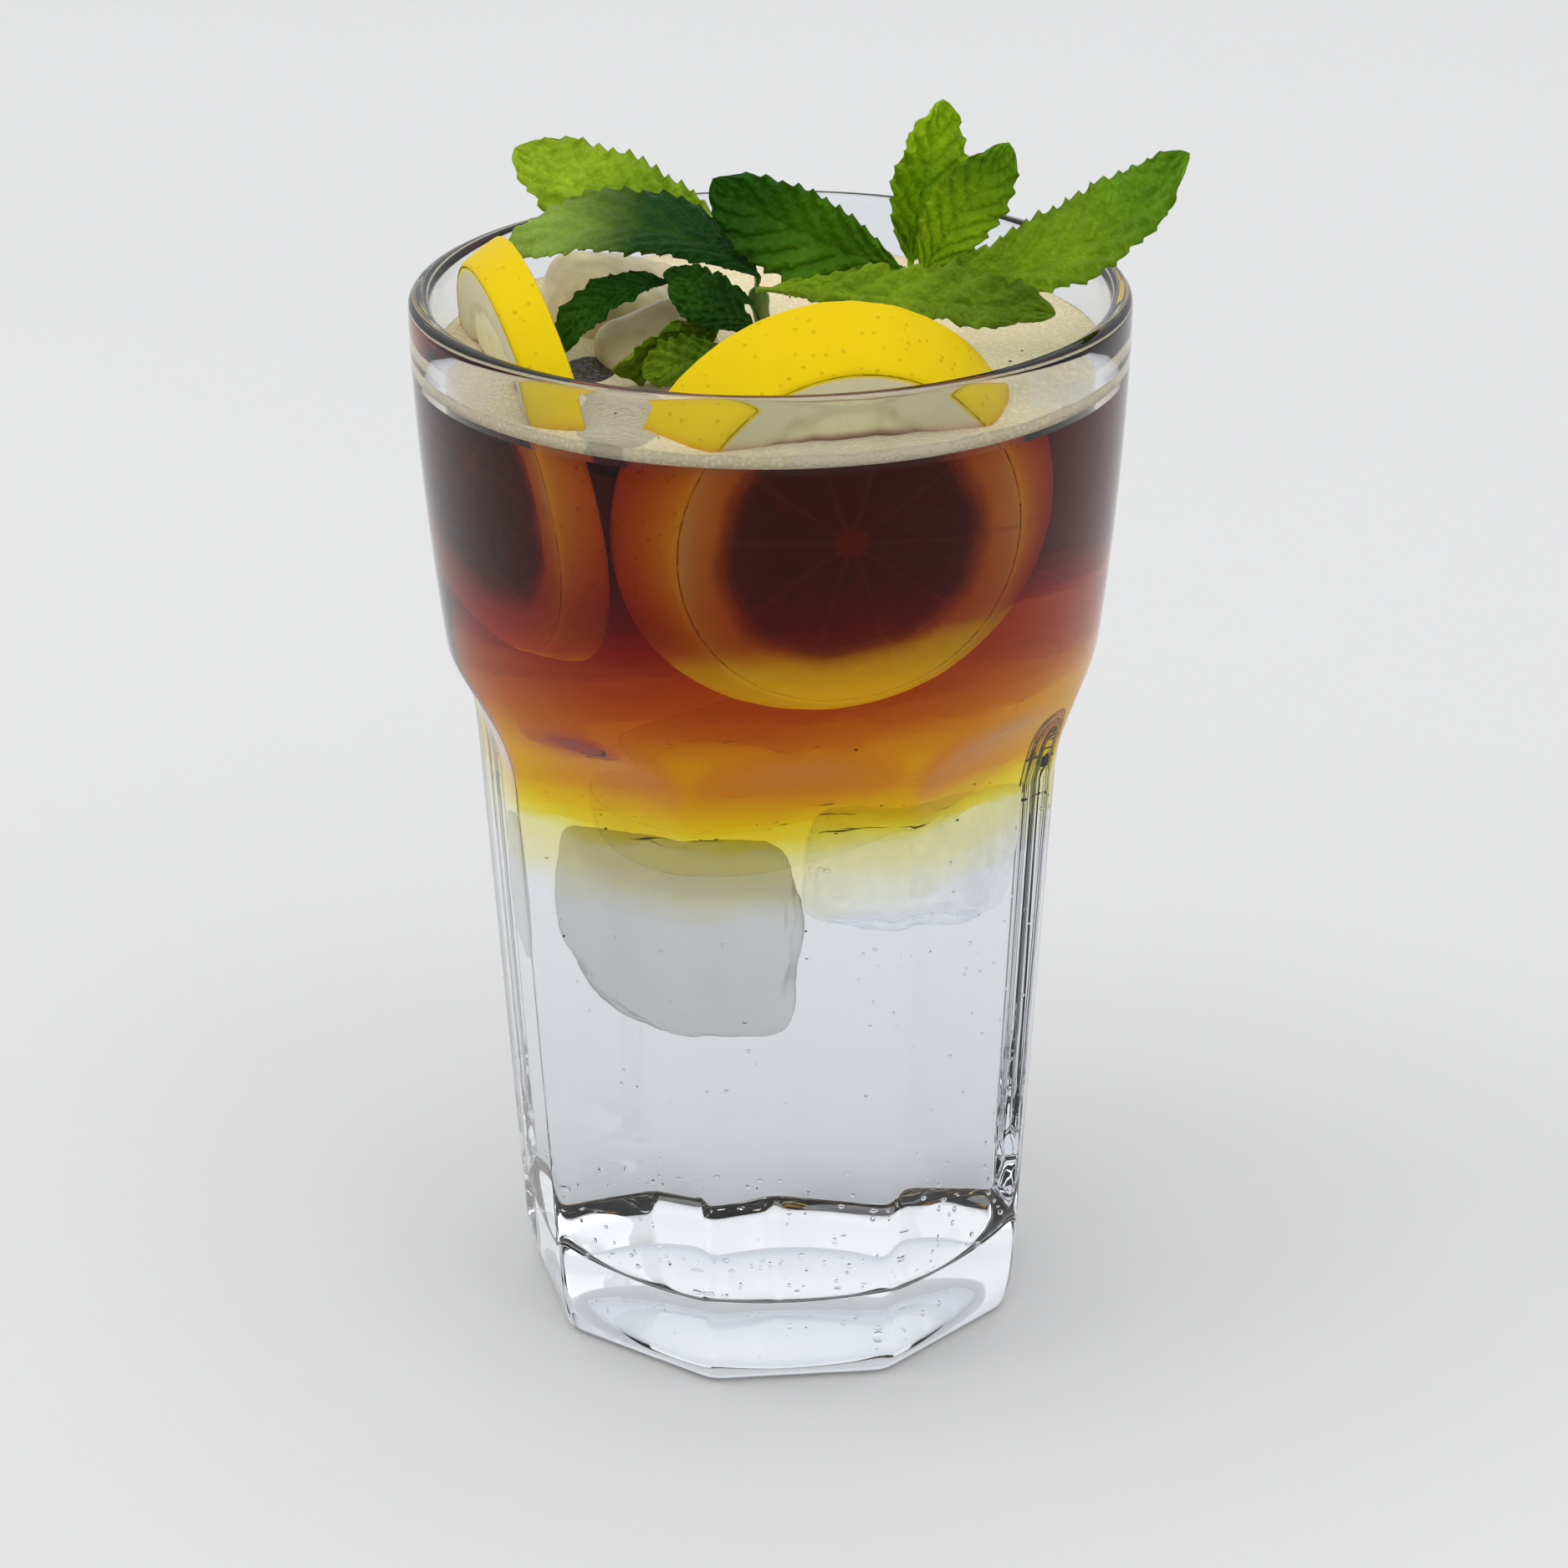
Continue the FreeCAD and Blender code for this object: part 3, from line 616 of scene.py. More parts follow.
def level_point(layer, share, angle, lap=0.0):
    """Point of the face under a layer, at a share of the way to the wall. layer None is the top."""
    if layer is None:
        return turned((bore_radius(DRINK_TOP) + WALL_REACH) * share, angle, DRINK_TOP)
    height = LAYERS[layer][0]
    for _ in range(4):
        radius = share * (bore_radius(height) + WALL_REACH)
        x, y, _ = turned(radius, angle, 0.0)
        height = underside(layer, x, y)
    return x, y, height + lap


def drink_body(name, finish, node, layer, upper):
    """What fills the glass from a layer's underside to that of the layer above. The lowest starts on
    the glass floor."""
    rings, rows = 26, 30

    def place(part, angle, share):
        if part == "under":
            return level_point(layer, share, angle)
        if part == "over":
            return level_point(upper, share, angle, LAYER_LAP)
        if part == "floor":
            return turned(share[0], angle, share[1])
        low = FLOOR_CORNER[1] if layer is None else level_point(layer, 1.0, angle)[2]
        height = low + (level_point(upper, 1.0, angle, LAYER_LAP)[2] - low) * share
        return turned(bore_radius(height) + WALL_REACH, angle, height)

    if layer is None:
        corner = arc_points(FLOOR_CORNER, FLOOR_ROUND + WALL_REACH, -90, 0, 8)
        profile = [(r, ("floor", (r, FLOOR_HEIGHT - WALL_REACH))) for r in (0, 6, 12, 18, 23)]
        profile += [(1, ("floor", spot)) for spot in corner]
    else:
        profile = [(k, ("under", k / rings)) for k in range(rings + 1)]
    profile += [(1, ("side", k / rows)) for k in range(1, rows)]
    profile += [(k, ("over", k / rings)) for k in range(rings, -1, -1)]
    points, faces = lathe(profile, even_angles(144), lambda _, angle, spot: place(spot[0], angle, spot[1]))
    new_piece(name, points, faces, finish, node, node)


def drink_finish(name, takes):
    """Drink that colours light by depth: takes is what each metre takes of red, green and blue. It
    doesn't bend light, because the wetted glass has done so."""
    finish = Finish(name, base_color=(1.0, 1.0, 1.0), roughness=0.0, ior=1.0, transmission_weight=1.0)
    most = max(takes)
    finish.absorb(tuple(1 - take / most for take in takes), most)
    return finish


def build_drink(colours):
    """Each layer takes what the one under it takes, and its own share."""
    takes = [(1 - c) * colours.tonic_strength for c in colours.tonic]
    drink_body("tonic_water", drink_finish("tonic_water", takes), "tonic", None, "pale")
    rising = [("pale", "blend", "gold"), ("gold", "blend", "amber"), ("amber", "blend", "espresso"),
              ("espresso", "espresso", None)]
    for layer, slot, upper in rising:
        colour, strength = getattr(colours, layer), getattr(colours, layer + "_strength")
        takes = [take + (1 - c) * strength for take, c in zip(takes, colour)]
        name = layer if layer == "espresso" else layer + "_blend"
        drink_body(name, drink_finish(name, takes), slot, layer, upper)


# Places of the large flat bubbles and thin spots of the crema: middle, half widths, and how clear.
CREMA_SPOTS = (
    ((-38.5, -18.5), (6.5, 8.5), 0.45),
    ((-17.4, -28.0), (5.6, 11.0), 0.75),
    ((10.0, -36.5), (14.5, 6.5), 0.55),
    ((35.0, -21.5), (4.4, 7.0), 0.6),
    ((-22.3, -9.0), (3.6, 5.6), 1.0),
    ((-6.9, -36.5), (0.7, 0.9), 0.8),
)


def crema_finish():
    finish = Finish("crema", ior=1.35, specular_ior_level=0.15)
    x, y = finish.part("X"), finish.part("Y")
    wobble = (finish.noise(160.0, 3.0) - 0.5) * 0.0022
    spots = []
    for middle, half, strength in CREMA_SPOTS:
        across = (x + wobble - middle[0] * MM) / (half[0] * MM)
        along = (y + wobble - middle[1] * MM) / (half[1] * MM)
        spots.append((across * across + along * along).ramp(1.06, 0.86) * strength)
    clear = functools.reduce(lambda one, other: one.math("MAXIMUM", other), spots)
    fizz = finish.cells(1500.0).ramp(0.25, 0.6)
    froth = finish.noise(420.0, 4.0, 0.65)
    cream = finish.mix(finish.noise(70.0, 3.0), (0.97, 0.80, 0.45), (1.0, 0.92, 0.68))
    cream = finish.mix(fizz * 0.25, cream, (0.42, 0.29, 0.12))
    thin = finish.mix(froth, (0.78, 0.66, 0.42), (0.95, 0.86, 0.64))
    thin = finish.mix(clear.ramp(0.6, 1.0), thin, (0.012, 0.005, 0.002))
    finish.set(base_color=finish.mix(clear.ramp(0.0, 0.4), cream, thin))
    finish.set(roughness=0.42 - 0.36 * clear)
    finish.set(normal=finish.bump(fizz + froth, 0.35, 0.0004))
    return finish


def build_crema():
    """The foam's skin, which is lumpy and climbs a little at the wall."""
    def place(radius, angle, height):
        x, y, _ = turned(radius, angle, height)
        if height < CREMA_TOP:
            return x, y, height
        climb = 0.5 * max(0.0, (radius - 38.5) / 3.4) ** 2
        lumps = 0.28 * noise.noise(Vector((x * 0.18, y * 0.18, 4.0)))
        lumps += 0.10 * noise.noise(Vector((x * 0.8, y * 0.8, 9.0)))
        return x, y, CREMA_TOP - 0.35 + climb + lumps

    edge = bore_radius(CREMA_TOP) + 0.06
    profile = [(0, CREMA_FOOT), (20, CREMA_FOOT), (edge, CREMA_FOOT), (edge, CREMA_FOOT + 0.8)]
    profile += [(edge * (1 - (k / 44) ** 1.25), CREMA_TOP) for k in range(45)]
    points, faces = lathe(profile, even_angles(180), place)
    new_piece("crema_foam", points, faces, crema_finish(), "crema", "crema")


# ---- the lemon ----

def lemon_finish(name, pulp, pith, juice, stain, clearness, peel_clearness=0.0, painted_glow=0.0):
    """Peel, pith and pulp. The clearness of each is the share of light that it lets through, juice is
    that light's colour, and stain is what coffee leaves of the piece's own colour. The last argument
    gives the strength of painted light: the rind low in the drink emits light that stands in for light
    shining through it. Low in the drink the colour is also painted a bright gold."""
    finish = Finish(name, ior=1.45, specular_ior_level=0.07)
    peel, rind, skin = (finish.attribute(a) for a in ("peel", "pith", "membrane"))
    height = finish.part("Z")
    dry = height.ramp(DRINK_TOP * MM, (CREMA_TOP + 0.8) * MM)
    deep = height.ramp(*(z * MM for z in STAINED)) * (1 - dry)

    grain = finish.stretch(put(finish.tree, "ShaderNodeUVMap", {"uv_map": "face"}), (70.0, 6.0, 1.0))
    sacs = finish.noise(1.0, 2.0, 0.5, grain)
    flesh = finish.mix(sacs.ramp(0.3, 0.7), tuple(0.75 * c for c in pulp), pulp)
    flesh = finish.mix(skin * 0.6, flesh, tuple(0.7 * a + 0.3 * b for a, b in zip(pulp, pith)))
    flesh = finish.mix(dry, flesh, finish.mix(sacs, (0.80, 0.70, 0.34), (0.90, 0.84, 0.55)))
    pale = finish.mix(finish.noise(300.0), tuple(0.88 * c for c in pith), pith)
    pores = finish.cells(620.0).ramp(0.02, 0.22)
    zest = finish.mix(finish.noise(90.0, 3.0), (0.77, 0.53, 0.002), (0.85, 0.62, 0.003))
    zest = finish.mix((1 - pores) * 0.5, zest, (0.66, 0.45, 0.003))
    colour = finish.mix(peel, finish.mix(rind, flesh, pale), zest)
    stained = finish.mix(1.0, colour, stain, "MULTIPLY")
    # Painted light: lower in the drink the colour turns a bright gold, which stands in for light coloured
    # by the golden layer.
    golden = finish.mix(height.ramp(*(z * MM for z in PAINTED_GOLD_HEIGHTS)) * 0.8, colour, (1.0, 0.90, 0.16))
    finish.set(base_color=finish.mix(deep, golden, stained))

    outer = peel.math("MAXIMUM", rind)
    # Painted light: the rind low in the drink emits a golden light, which stands in for light shining
    # through it.
    lit = height.ramp(*(z * MM for z in PAINTED_GLOW_HEIGHTS)) * outer * painted_glow
    finish.set(emission_strength=1.0, emission_color=finish.mix(lit, (0, 0, 0), (1.0, 0.85, 0.10)))
    finish.set(roughness=0.30 + 0.25 * rind - 0.08 * peel)
    relief = pores * peel + sacs * (1 - peel) * 0.6
    finish.set(normal=finish.bump(relief, 0.5, 0.0005))
    clear = (1 - outer) * (1 - dry) * (clearness - peel_clearness) + peel_clearness
    finish.blend(clear, base_color=juice, roughness=0.0, ior=1.0, specular_ior_level=0.0,
                 transmission_weight=1.0)
    return finish


def slice_rows(near, thick):
    """Rings of a slice from the middle of its near face over the rim to the middle of its far face:
    share of the way out, depth along the lemon, and which face it is on, or 0 on the rim."""
    far = near + thick
    turns = [math.radians(90 * k / 4) for k in range(5)]
    steps = max(int(thick / 0.6), 6)
    rows = [(share, near, -1) for share in FACE_SHARES]
    rows += [(1 - EDGE_ROUND / NEAR_EDGE * (1 - math.sin(t)), near + EDGE_ROUND * (1 - math.cos(t)), 0)
             for t in turns]
    rows += [(1.0, near + EDGE_ROUND + (thick - 2 * EDGE_ROUND) * k / steps, 0) for k in range(1, steps)]
    rows += [(1 - EDGE_ROUND / FAR_EDGE * (1 - math.cos(t)), far - EDGE_ROUND * (1 - math.sin(t)), 0)
             for t in turns]
    return rows + [(share, far, 1) for share in reversed(FACE_SHARES)]


def slice_spot(share, depth, side, angle, seed, flesh):
    """Shape and looks of one spot of a slice: how far it bulges, how far out it stands, and how much
    it is peel, pith and membrane."""
    c, s = math.cos(angle), math.sin(angle)
    pithy = flesh + 0.012 * math.sin(3 * angle + seed) + 0.010 * math.sin(SEGMENTS * angle)
    local = (angle * SEGMENTS / (2 * math.pi) + 0.12 * math.sin(2 * angle + seed)) % 1.0
    wall = min(local, 1 - local) * share * PULP_ROUND * 2 * math.pi / SEGMENTS
    core = share < 0.08
    bulge = 0.0
    if side and share < pithy and not core:
        plump = min(1.0, wall / 2.2) * min(1.0, (pithy - share) / 0.08)
        grain = noise.noise(Vector((c * 9 * share + seed, s * 9 * share, 14 * share)))
        bulge = side * (-0.55 + 0.45 * plump + 0.16 * grain)
    bumps = 1.0
    if side == 0:
        spot = Vector((c * PULP_ROUND, s * PULP_ROUND, depth)) * 0.42 + Vector((seed, 0, 0))
        bumps = 1 + 0.0035 * noise.noise(spot) + 0.0016 * noise.noise(spot * 4.2)
    peel = 1.0 if share >= PEEL_SHARE or side == 0 else 0.0
    pith = max(smooth_step(share, pithy - 0.13, pithy + 0.04), 0.3 * core)
    membrane = max(0.0, 1 - wall / 0.75) if share < pithy else 0.0
    return bulge, math.sqrt(1 - (depth / LEMON_LONG) ** 2) * share * bumps, (peel, pith, membrane)


def slice_piece(name, finish, near, thick, middle, axes, seed, flesh):
    """A slice of lemon: middle is the whole lemon's centre, axes its tangent, upward and normal.
    flesh is how far out the pulp reaches on its faces."""
    tangent, upward, normal = axes
    angles = even_angles(180)
    points, looks, sheet, rings = [], [], [], []
    for share, depth, side in slice_rows(near, thick):
        start = len(points)
        ring = angles[:1] if share == 0 else angles
        for k, angle in enumerate(ring):
            bulge, reach, look = slice_spot(share, depth, side, angle, seed, flesh)
            u, v = LEMON_SQUASH * reach * math.cos(angle), LEMON_ROUND * reach * math.sin(angle)
            points.append(middle + tangent * u + upward * v + normal * (depth + bulge))
            looks.append(look)
            sheet.append((k / len(angles), share))
        rings.append([start] * len(angles) if share == 0 else range(start, len(points)))
    piece = new_piece(name, points, join_rings(rings, flip=True), finish, "lemon", name)
    for attribute, values in zip(("peel", "pith", "membrane"), zip(*looks)):
        add_floats(piece, attribute, values)
    layer = piece.data.uv_layers.new(name="face")
    for loop in piece.data.loops:
        layer.data[loop.index].uv = sheet[loop.vertex_index]


def standing_place(key):
    """Centre of the whole lemon, and the slice's axes, for a slice whose rim is just off the wall."""
    near, thick, angle, lean, drop = STANDING_SLICES[key]
    angle, lean = math.radians(angle), math.radians(lean)
    outward = Vector((math.sin(angle), -math.cos(angle), 0))
    tangent = Vector((math.cos(angle), math.sin(angle), 0))
    normal = outward * math.cos(lean) - UP * math.sin(lean)
    upward = outward * math.sin(lean) + UP * math.cos(lean)
    height = GLASS_HEIGHT - drop
    far = near + thick
    far_radius = LEMON_SQUASH * math.sqrt(1 - (far / LEMON_LONG) ** 2)
    reach = math.sqrt((bore_radius(height) - WALL_CLEARANCE) ** 2 - far_radius ** 2)
    middle = outward * reach + UP * height - normal * far
    return near, thick, middle, (tangent, upward, normal)


def build_lemon(colours):
    # The soaked slices get painted light: their rind low in the drink emits light.
    soaked = lemon_finish("lemon_in_coffee", tuple(colours.soaked_pulp), pith=(0.80, 0.72, 0.45),
                          juice=(0.85, 0.55, 0.3), stain=(0.9, 0.55, 0.6), clearness=0.6, painted_glow=0.36)
    for seed, key in ((2.0, "front"), (3.0, "left")):
        slice_piece(f"lemon_slice_{key}", soaked, *standing_place(key), seed, 0.76)
    fresh = lemon_finish("lemon_in_tonic", tuple(colours.pulp), pith=(1.0, 0.97, 0.78),
                         juice=(1.0, 0.995, 0.92), stain=(1.0, 1.0, 1.0), clearness=0.95,
                         peel_clearness=0.95)
    near, thick, tilt, nod, aside, drop = SUNK_SLICE
    turn = Matrix.Rotation(math.radians(-tilt), 3, "Y") @ Matrix.Rotation(math.radians(nod), 3, "X")
    axes = tuple(turn @ Vector(v) for v in ((1, 0, 0), (0, 1, 0), (0, 0, 1)))
    middle = Vector((aside, 0, GLASS_HEIGHT - drop)) - axes[2] * (near + thick / 2)
    slice_piece("lemon_slice_low", fresh, near, thick, middle, axes, 5.0, 0.86)


# ---- ice ----

def ice_finish(name, base, roughness, transmission, ior, cloudy=0.8, dimpled=True):
    """cloudy is how dark the cloudy streaks are, as a share of the base colour."""
    finish = Finish(name, ior=ior, transmission_weight=transmission)
    cloud = finish.noise(90.0, 4.0, 0.6)
    finish.set(base_color=finish.mix(cloud.ramp(0.35, 0.65), tuple(cloudy * c for c in base), base))
    finish.set(roughness=roughness + 0.12 * cloud if roughness else 0.0)
    if dimpled:
        finish.set(normal=finish.bump(finish.noise(160.0, 3.0), 0.3, 0.0008))
    return finish


def ice_piece(name, finish, squareness, seed, dents=1.0, melted=None):
    """A melted block: a rounded cube whose faces sag and dimple. melted is a side, as a direction
    and a distance, that has melted flat."""
    offset, turns, edge = ICE[name]
    centre = Vector(offset) + UP * CREMA_TOP
    about_z, about_y, about_x = (Matrix.Rotation(math.radians(t), 3, axis) for t, axis in zip(turns, "ZYX"))
    turn = about_z @ about_y @ about_x
    half = Vector((edge, edge, edge * 0.9)) / 2

    def place(radius, angle, height):
        way = Vector(turned(radius, angle, height))
        total = sum(abs(c) ** squareness for c in way)
        if melted:
            side, distance = melted
            total += max(way.dot(Vector(side)) / distance, 0.0) ** squareness
        local = way * total ** (-1 / squareness) * half
        spot = local * 0.16 + Vector((seed, seed, 0))
        local *= 1 + dents * 0.05 * noise.noise(spot) + dents * 0.018 * noise.noise(spot * 3.1)
        return centre + turn @ local

    bands = 64
    polar = [math.pi * band / bands for band in range(bands + 1)]
    points, faces = lathe([(math.sin(t), -math.cos(t)) for t in polar], even_angles(96), place)
    new_piece(name, points, faces, finish, "ice", name)


def build_ice(colours):
    tan = ice_finish("ice_with_foam", tuple(colours.foamy_ice), roughness=0.18, transmission=0.2, ior=1.31,
                     cloudy=0.62)
    ice_piece("ice_back", tan, 4.5, 1.0)
    ice_piece("ice_middle", tan, 4.5, 4.0)
    frosted = ice_finish("frosted_ice", tuple(colours.frosted_ice), roughness=0.5, transmission=0.62,
                         ior=1.012, cloudy=0.97)
    ice_piece("ice_low", frosted, 6.0, 7.0, 0.9, ((-0.62, 0.0, -0.78), 1.02))
    clear = ice_finish("clear_ice", (0.96, 0.97, 0.975), roughness=0.0, transmission=1.0, ior=1.015,
                       dimpled=False)
    ice_piece("ice_clear", clear, 6.0, 11.0, 0.8)


# ---- mint ----

def from_lip(place):
    return Vector(place) + UP * GLASS_HEIGHT


def blade_share(along):
    """Half width of a blade as a share of its widest, with the belly past the middle."""
    return 2.794 * along ** 0.85 * (1 - along) ** 0.65 if 0 < along < 1 else 0.0


def leaf_axes(leaf, along):
    """Directions at a share of the blade's length: forward, out of its face and to its side."""
    heading = math.radians(leaf["heading"] + leaf["turn"] * along)
    climb = math.radians(leaf["climb"] + leaf["bend"] * along)
    roll = math.radians(leaf["roll"] + leaf["twist"] * along)
    level = Vector((-math.sin(heading), math.cos(heading), 0))
    forward = Vector(turned(math.cos(climb), heading, math.sin(climb)))
    above = forward.cross(level)
    normal = above * math.cos(roll) + level * math.sin(roll)
    side = level * math.cos(roll) - above * math.sin(roll)
    return forward, normal, side


def mint_finish():
    finish = Finish("mint_leaf", ior=1.45, specular_ior_level=0.10)
    # The tint holds each blade's green together with its painted light and shade.
    tint = finish.attribute("tint", "Color")
    blotch = finish.noise(180.0, 4.0, 0.6)
    shade = finish.mix(blotch.ramp(0.3, 0.7), (0.78, 0.80, 0.7), (1.12, 1.1, 1.2))
    fine = finish.cells(1300.0).ramp(0.0, 0.7)
    colour = finish.mix(1.0, tint, shade, "MULTIPLY")
    finish.set(base_color=finish.mix(fine * 0.25, colour, (0.35, 0.45, 0.3), "MULTIPLY"))
    finish.set(roughness=0.36 + 0.2 * blotch)
    finish.set(normal=finish.bump(fine + blotch, 0.4, 0.0003))
    return finish


def leaf_relief(along, across, aspect, veins, crinkle, seed):
    """Height of the blade's face in millimetres, and how near the spot is to a vein."""
    side = 1 if across >= 0 else -1
    reach = abs(across)
    midrib = math.exp(-(reach / 0.055) ** 2)
    phase = (along - 0.30 * aspect * reach ** 1.15 + 0.02 * side) * veins
    local = abs(phase - round(phase))
    fade = min(1.0, (1 - reach) / 0.12) * min(1.0, along / 0.08) * min(1.0, (1 - along) / 0.08)
    vein = math.exp(-(local / 0.085) ** 2) * max(fade, 0.0)
    puff = math.cos(phase * 2 * math.pi) * -0.5 + 0.5
    rough = noise.noise(Vector((along * 26 + seed, across * 9, seed)))
    height = crinkle * (0.75 * puff * (0.35 + 0.65 * reach) * max(fade, 0.0) + 0.34 * rough)
    height -= 0.34 * vein + 0.50 * midrib
    return height, max(vein * 0.75, midrib)


def stalk_line(leaf):
    """Rows of the short stalk from the sprig's stem to the blade: middle, face, side, share of the
    blade's length and half width."""
    start, node = from_lip(leaf["start"]), from_lip(STEMS[leaf["sprig"]][0])
    forward, normal, side = leaf_axes(leaf, 0)
    foot = node + (start - node).normalized() * 0.8
    bend = foot.lerp(start - forward * (start - foot).length * 0.35, 0.6)
    shares = [step / STALK_ROWS for step in range(STALK_ROWS)]
    return [(foot.lerp(bend, share).lerp(bend.lerp(start, share), share), normal, side, 0.0, STALK_REACH)
            for share in shares]


def blade_line(leaf):
    """Rows of the blade, in the same terms. Its edge is saw-toothed."""
    teeth = max(8, round(leaf["length"] / TOOTH_LENGTH))
    rows = teeth * 7
    point = from_lip(leaf["start"])
    line = []
    for step in range(rows + 1):
        along = step / rows
        forward, normal, side = leaf_axes(leaf, along)
        saw = (along * teeth) % 1.0
        tooth = 1 + (0.15 * saw ** 1.6 - 0.06) * min(1.0, along / 0.12)
        reach = max(leaf["width"] / 2 * blade_share(along) * tooth, STALK_REACH if along < 0.5 else 0.10)
        line.append((point.copy(), normal, side, along, reach))
        point = point + forward * (leaf["length"] / rows)
    return line


def leaf_greens(root, tip, along, across, vein):
    """Colours of the upper and the under face."""
    green = Vector(root).lerp(Vector(tip), smooth_step(along, 0.42, 0.85))
    pale = green * 1.25 + Vector((0.035, 0.055, 0.003))
    top = green.lerp(pale, 0.75 * vein)
    under = (green * 1.15 + Vector((0.03, 0.045, 0.005))).lerp(pale, 0.5 * vein)
    return tuple(top * (1 - 0.25 * abs(across) ** 10)), tuple(under)


def sheet_faces(grid):
    """Faces of a closed thin sheet, from rows of points. Each is followed by its twin underneath."""
    faces = []
    for low, high in zip(grid, grid[1:]):
        for k in range(len(low) - 1):
            a, b, c, d = low[k], high[k], high[k + 1], low[k + 1]
            faces.append((a, b, c, d))
            faces.append((d + 1, c + 1, b + 1, a + 1))
        faces.append((low[0], low[0] + 1, high[0] + 1, high[0]))
        faces.append((high[-1], high[-1] + 1, low[-1] + 1, low[-1]))
    for row, flip in ((grid[0], False), (grid[-1], True)):
        for one, other in zip(row, row[1:]):
            cap = (one, other, other + 1, one + 1)
            faces.append(cap[::-1] if flip else cap)
    return faces


def build_leaf(name, finish):
    leaf = dict(zip(LEAF_COLUMNS, LEAVES[name]))
    # The stalk and tip greens carry painted light and shade as well as the blade's own green.
    root, tip, crinkle = LEAF_GREENS_LIT_AND_SHADED[name]
    seed = sum(ord(letter) for letter in name) * 0.37
    fold = math.radians(leaf["fold"])
    aspect = leaf["width"] / leaf["length"] * 2
    veins = 7 if leaf["length"] > 15 else 5
    columns = 36
    points, colours, grid = [], [], []
    for index, (spot, normal, side, along, reach) in enumerate(stalk_line(leaf) + blade_line(leaf)):
        blade = index >= STALK_ROWS
        bent = fold if blade else 0.0
        room = min(1.0, reach / 2.5)
        frill = math.sin(along * 2 * math.pi * 3.5 + seed)
        frill += 0.6 * math.sin(along * 2 * math.pi * 8 + 2 * seed)
        grid.append(range(len(points), len(points) + 2 * columns + 1, 2))
        for k in range(columns + 1):
            across = -1 + 2 * k / columns
            ease = abs(across) if abs(across) > 0.12 else abs(across) ** 2 / 0.24 + 0.06
            height, vein = leaf_relief(along, across, aspect, veins, crinkle, seed) if blade else (0.0, 1.0)
            height = height * room + 0.32 * crinkle * frill * abs(across) ** 3 * room
            lift = ease * reach * math.sin(bent) + height
            place = spot + side * (across * reach * math.cos(bent)) + normal * lift
            thick = LEAF_THICKNESS * (1.0 if blade else 2.2) * (1.05 - 0.75 * abs(across) ** 4)
            points += [place + normal * (thick / 2), place - normal * (thick / 2)]
            colours += leaf_greens(root, tip, along, across, vein)
    piece = new_piece(f"leaf_{name}", points, sheet_faces(grid), finish, "mint_leaf", f"leaf_{name}")
    add_colours(piece, "tint", colours)


def stem_finish():
    finish = Finish("mint_stem", roughness=0.4, ior=1.45)
    streak = finish.noise(1.0, 3.0, 0.6, finish.stretch(finish.place, (900.0, 900.0, 90.0)))
    finish.set(base_color=finish.mix(streak, (0.07, 0.14, 0.02), (0.16, 0.24, 0.05)))
    finish.set(normal=finish.bump(streak, 0.3, 0.0003))
    return finish


def build_stem(key, finish):
    """A stem with four soft ribs, which swells where its leaves meet."""
    top, foot = (from_lip(p) for p in STEMS[key])
    axis = (top - foot).normalized()
    across = axis.cross(Vector((1, 0, 0))).normalized()
    beside = axis.cross(across)
    length = (top - foot).length

    def place(radius, angle, height):
        ribs = 1 + 0.07 * math.cos(4 * angle)
        swell = 1 + 0.35 * math.exp(-((length - height - 1.2) / 1.3) ** 2)
        x, y, z = turned(radius * ribs * swell, angle, height)
        return foot + axis * z + across * x + beside * y

    profile = [(0, 0), (0.7, 0), (STEM_RADIUS, 0.3)]
    profile += [(STEM_RADIUS, length * k / 30) for k in range(1, 30)]
    profile += [(0.8, length + 0.1), (0.45, length + 0.5), (0, length + 0.6)]
    points, faces = lathe(profile, even_angles(28), place)
    new_piece(f"stem_{key}", points, faces, finish, "mint_stem", f"stem_{key}")


# ---- bubbles and specks ----

def scatter_tree():
    """Geometry nodes that strew small round grains over a surface."""
    tree = bpy.data.node_groups.new("strew_grains", "GeometryNodeTree")
    given, keys, end = name_inputs(tree, {"Density": "Float", "Seed": "Int", "Smallest": "Vector",
                                          "Largest": "Vector", "Material": "Material"})
    spots = put(tree, "GeometryNodeDistributePointsOnFaces", {"distribute_method": "RANDOM"},
                {"Mesh": given["Geometry"], "Density": given["Density"], "Seed": given["Seed"]})
    grain = put(tree, "GeometryNodeMeshIcoSphere", None, {"Radius": 1.0, "Subdivisions": 2})
    size = put(tree, "FunctionNodeRandomValue", {"data_type": "FLOAT_VECTOR"},
               {0: given["Smallest"], 1: given["Largest"], "Seed": given["Seed"]})
    strewn = put(tree, "GeometryNodeInstanceOnPoints", None,
                 {"Points": spots, "Instance": grain, "Scale": size})
    real = put(tree, "GeometryNodeRealizeInstances", None, (strewn,))
    soft = put(tree, "GeometryNodeSetShadeSmooth", None, {"Geometry": real, "Shade Smooth": True})
    painted = put(tree, "GeometryNodeSetMaterial", None, {0: soft, "Material": given["Material"]})
    tree.links.new(painted.socket, end.inputs[0])
    return tree, keys


def open_band(radius_at, heights):
    angles = even_angles(64)
    points = [turned(radius_at(z), angle, z) for z in heights for angle in angles]
    return points, join_rings([range(k, k + len(angles)) for k in range(0, len(points), len(angles))])


def disc(radius, height):
    angles = even_angles(48)
    points = [(0, 0, height)] + [turned(radius, angle, height) for angle in angles]
    return points, [(0, 1 + k, 1 + (k + 1) % len(angles)) for k in range(len(angles))]


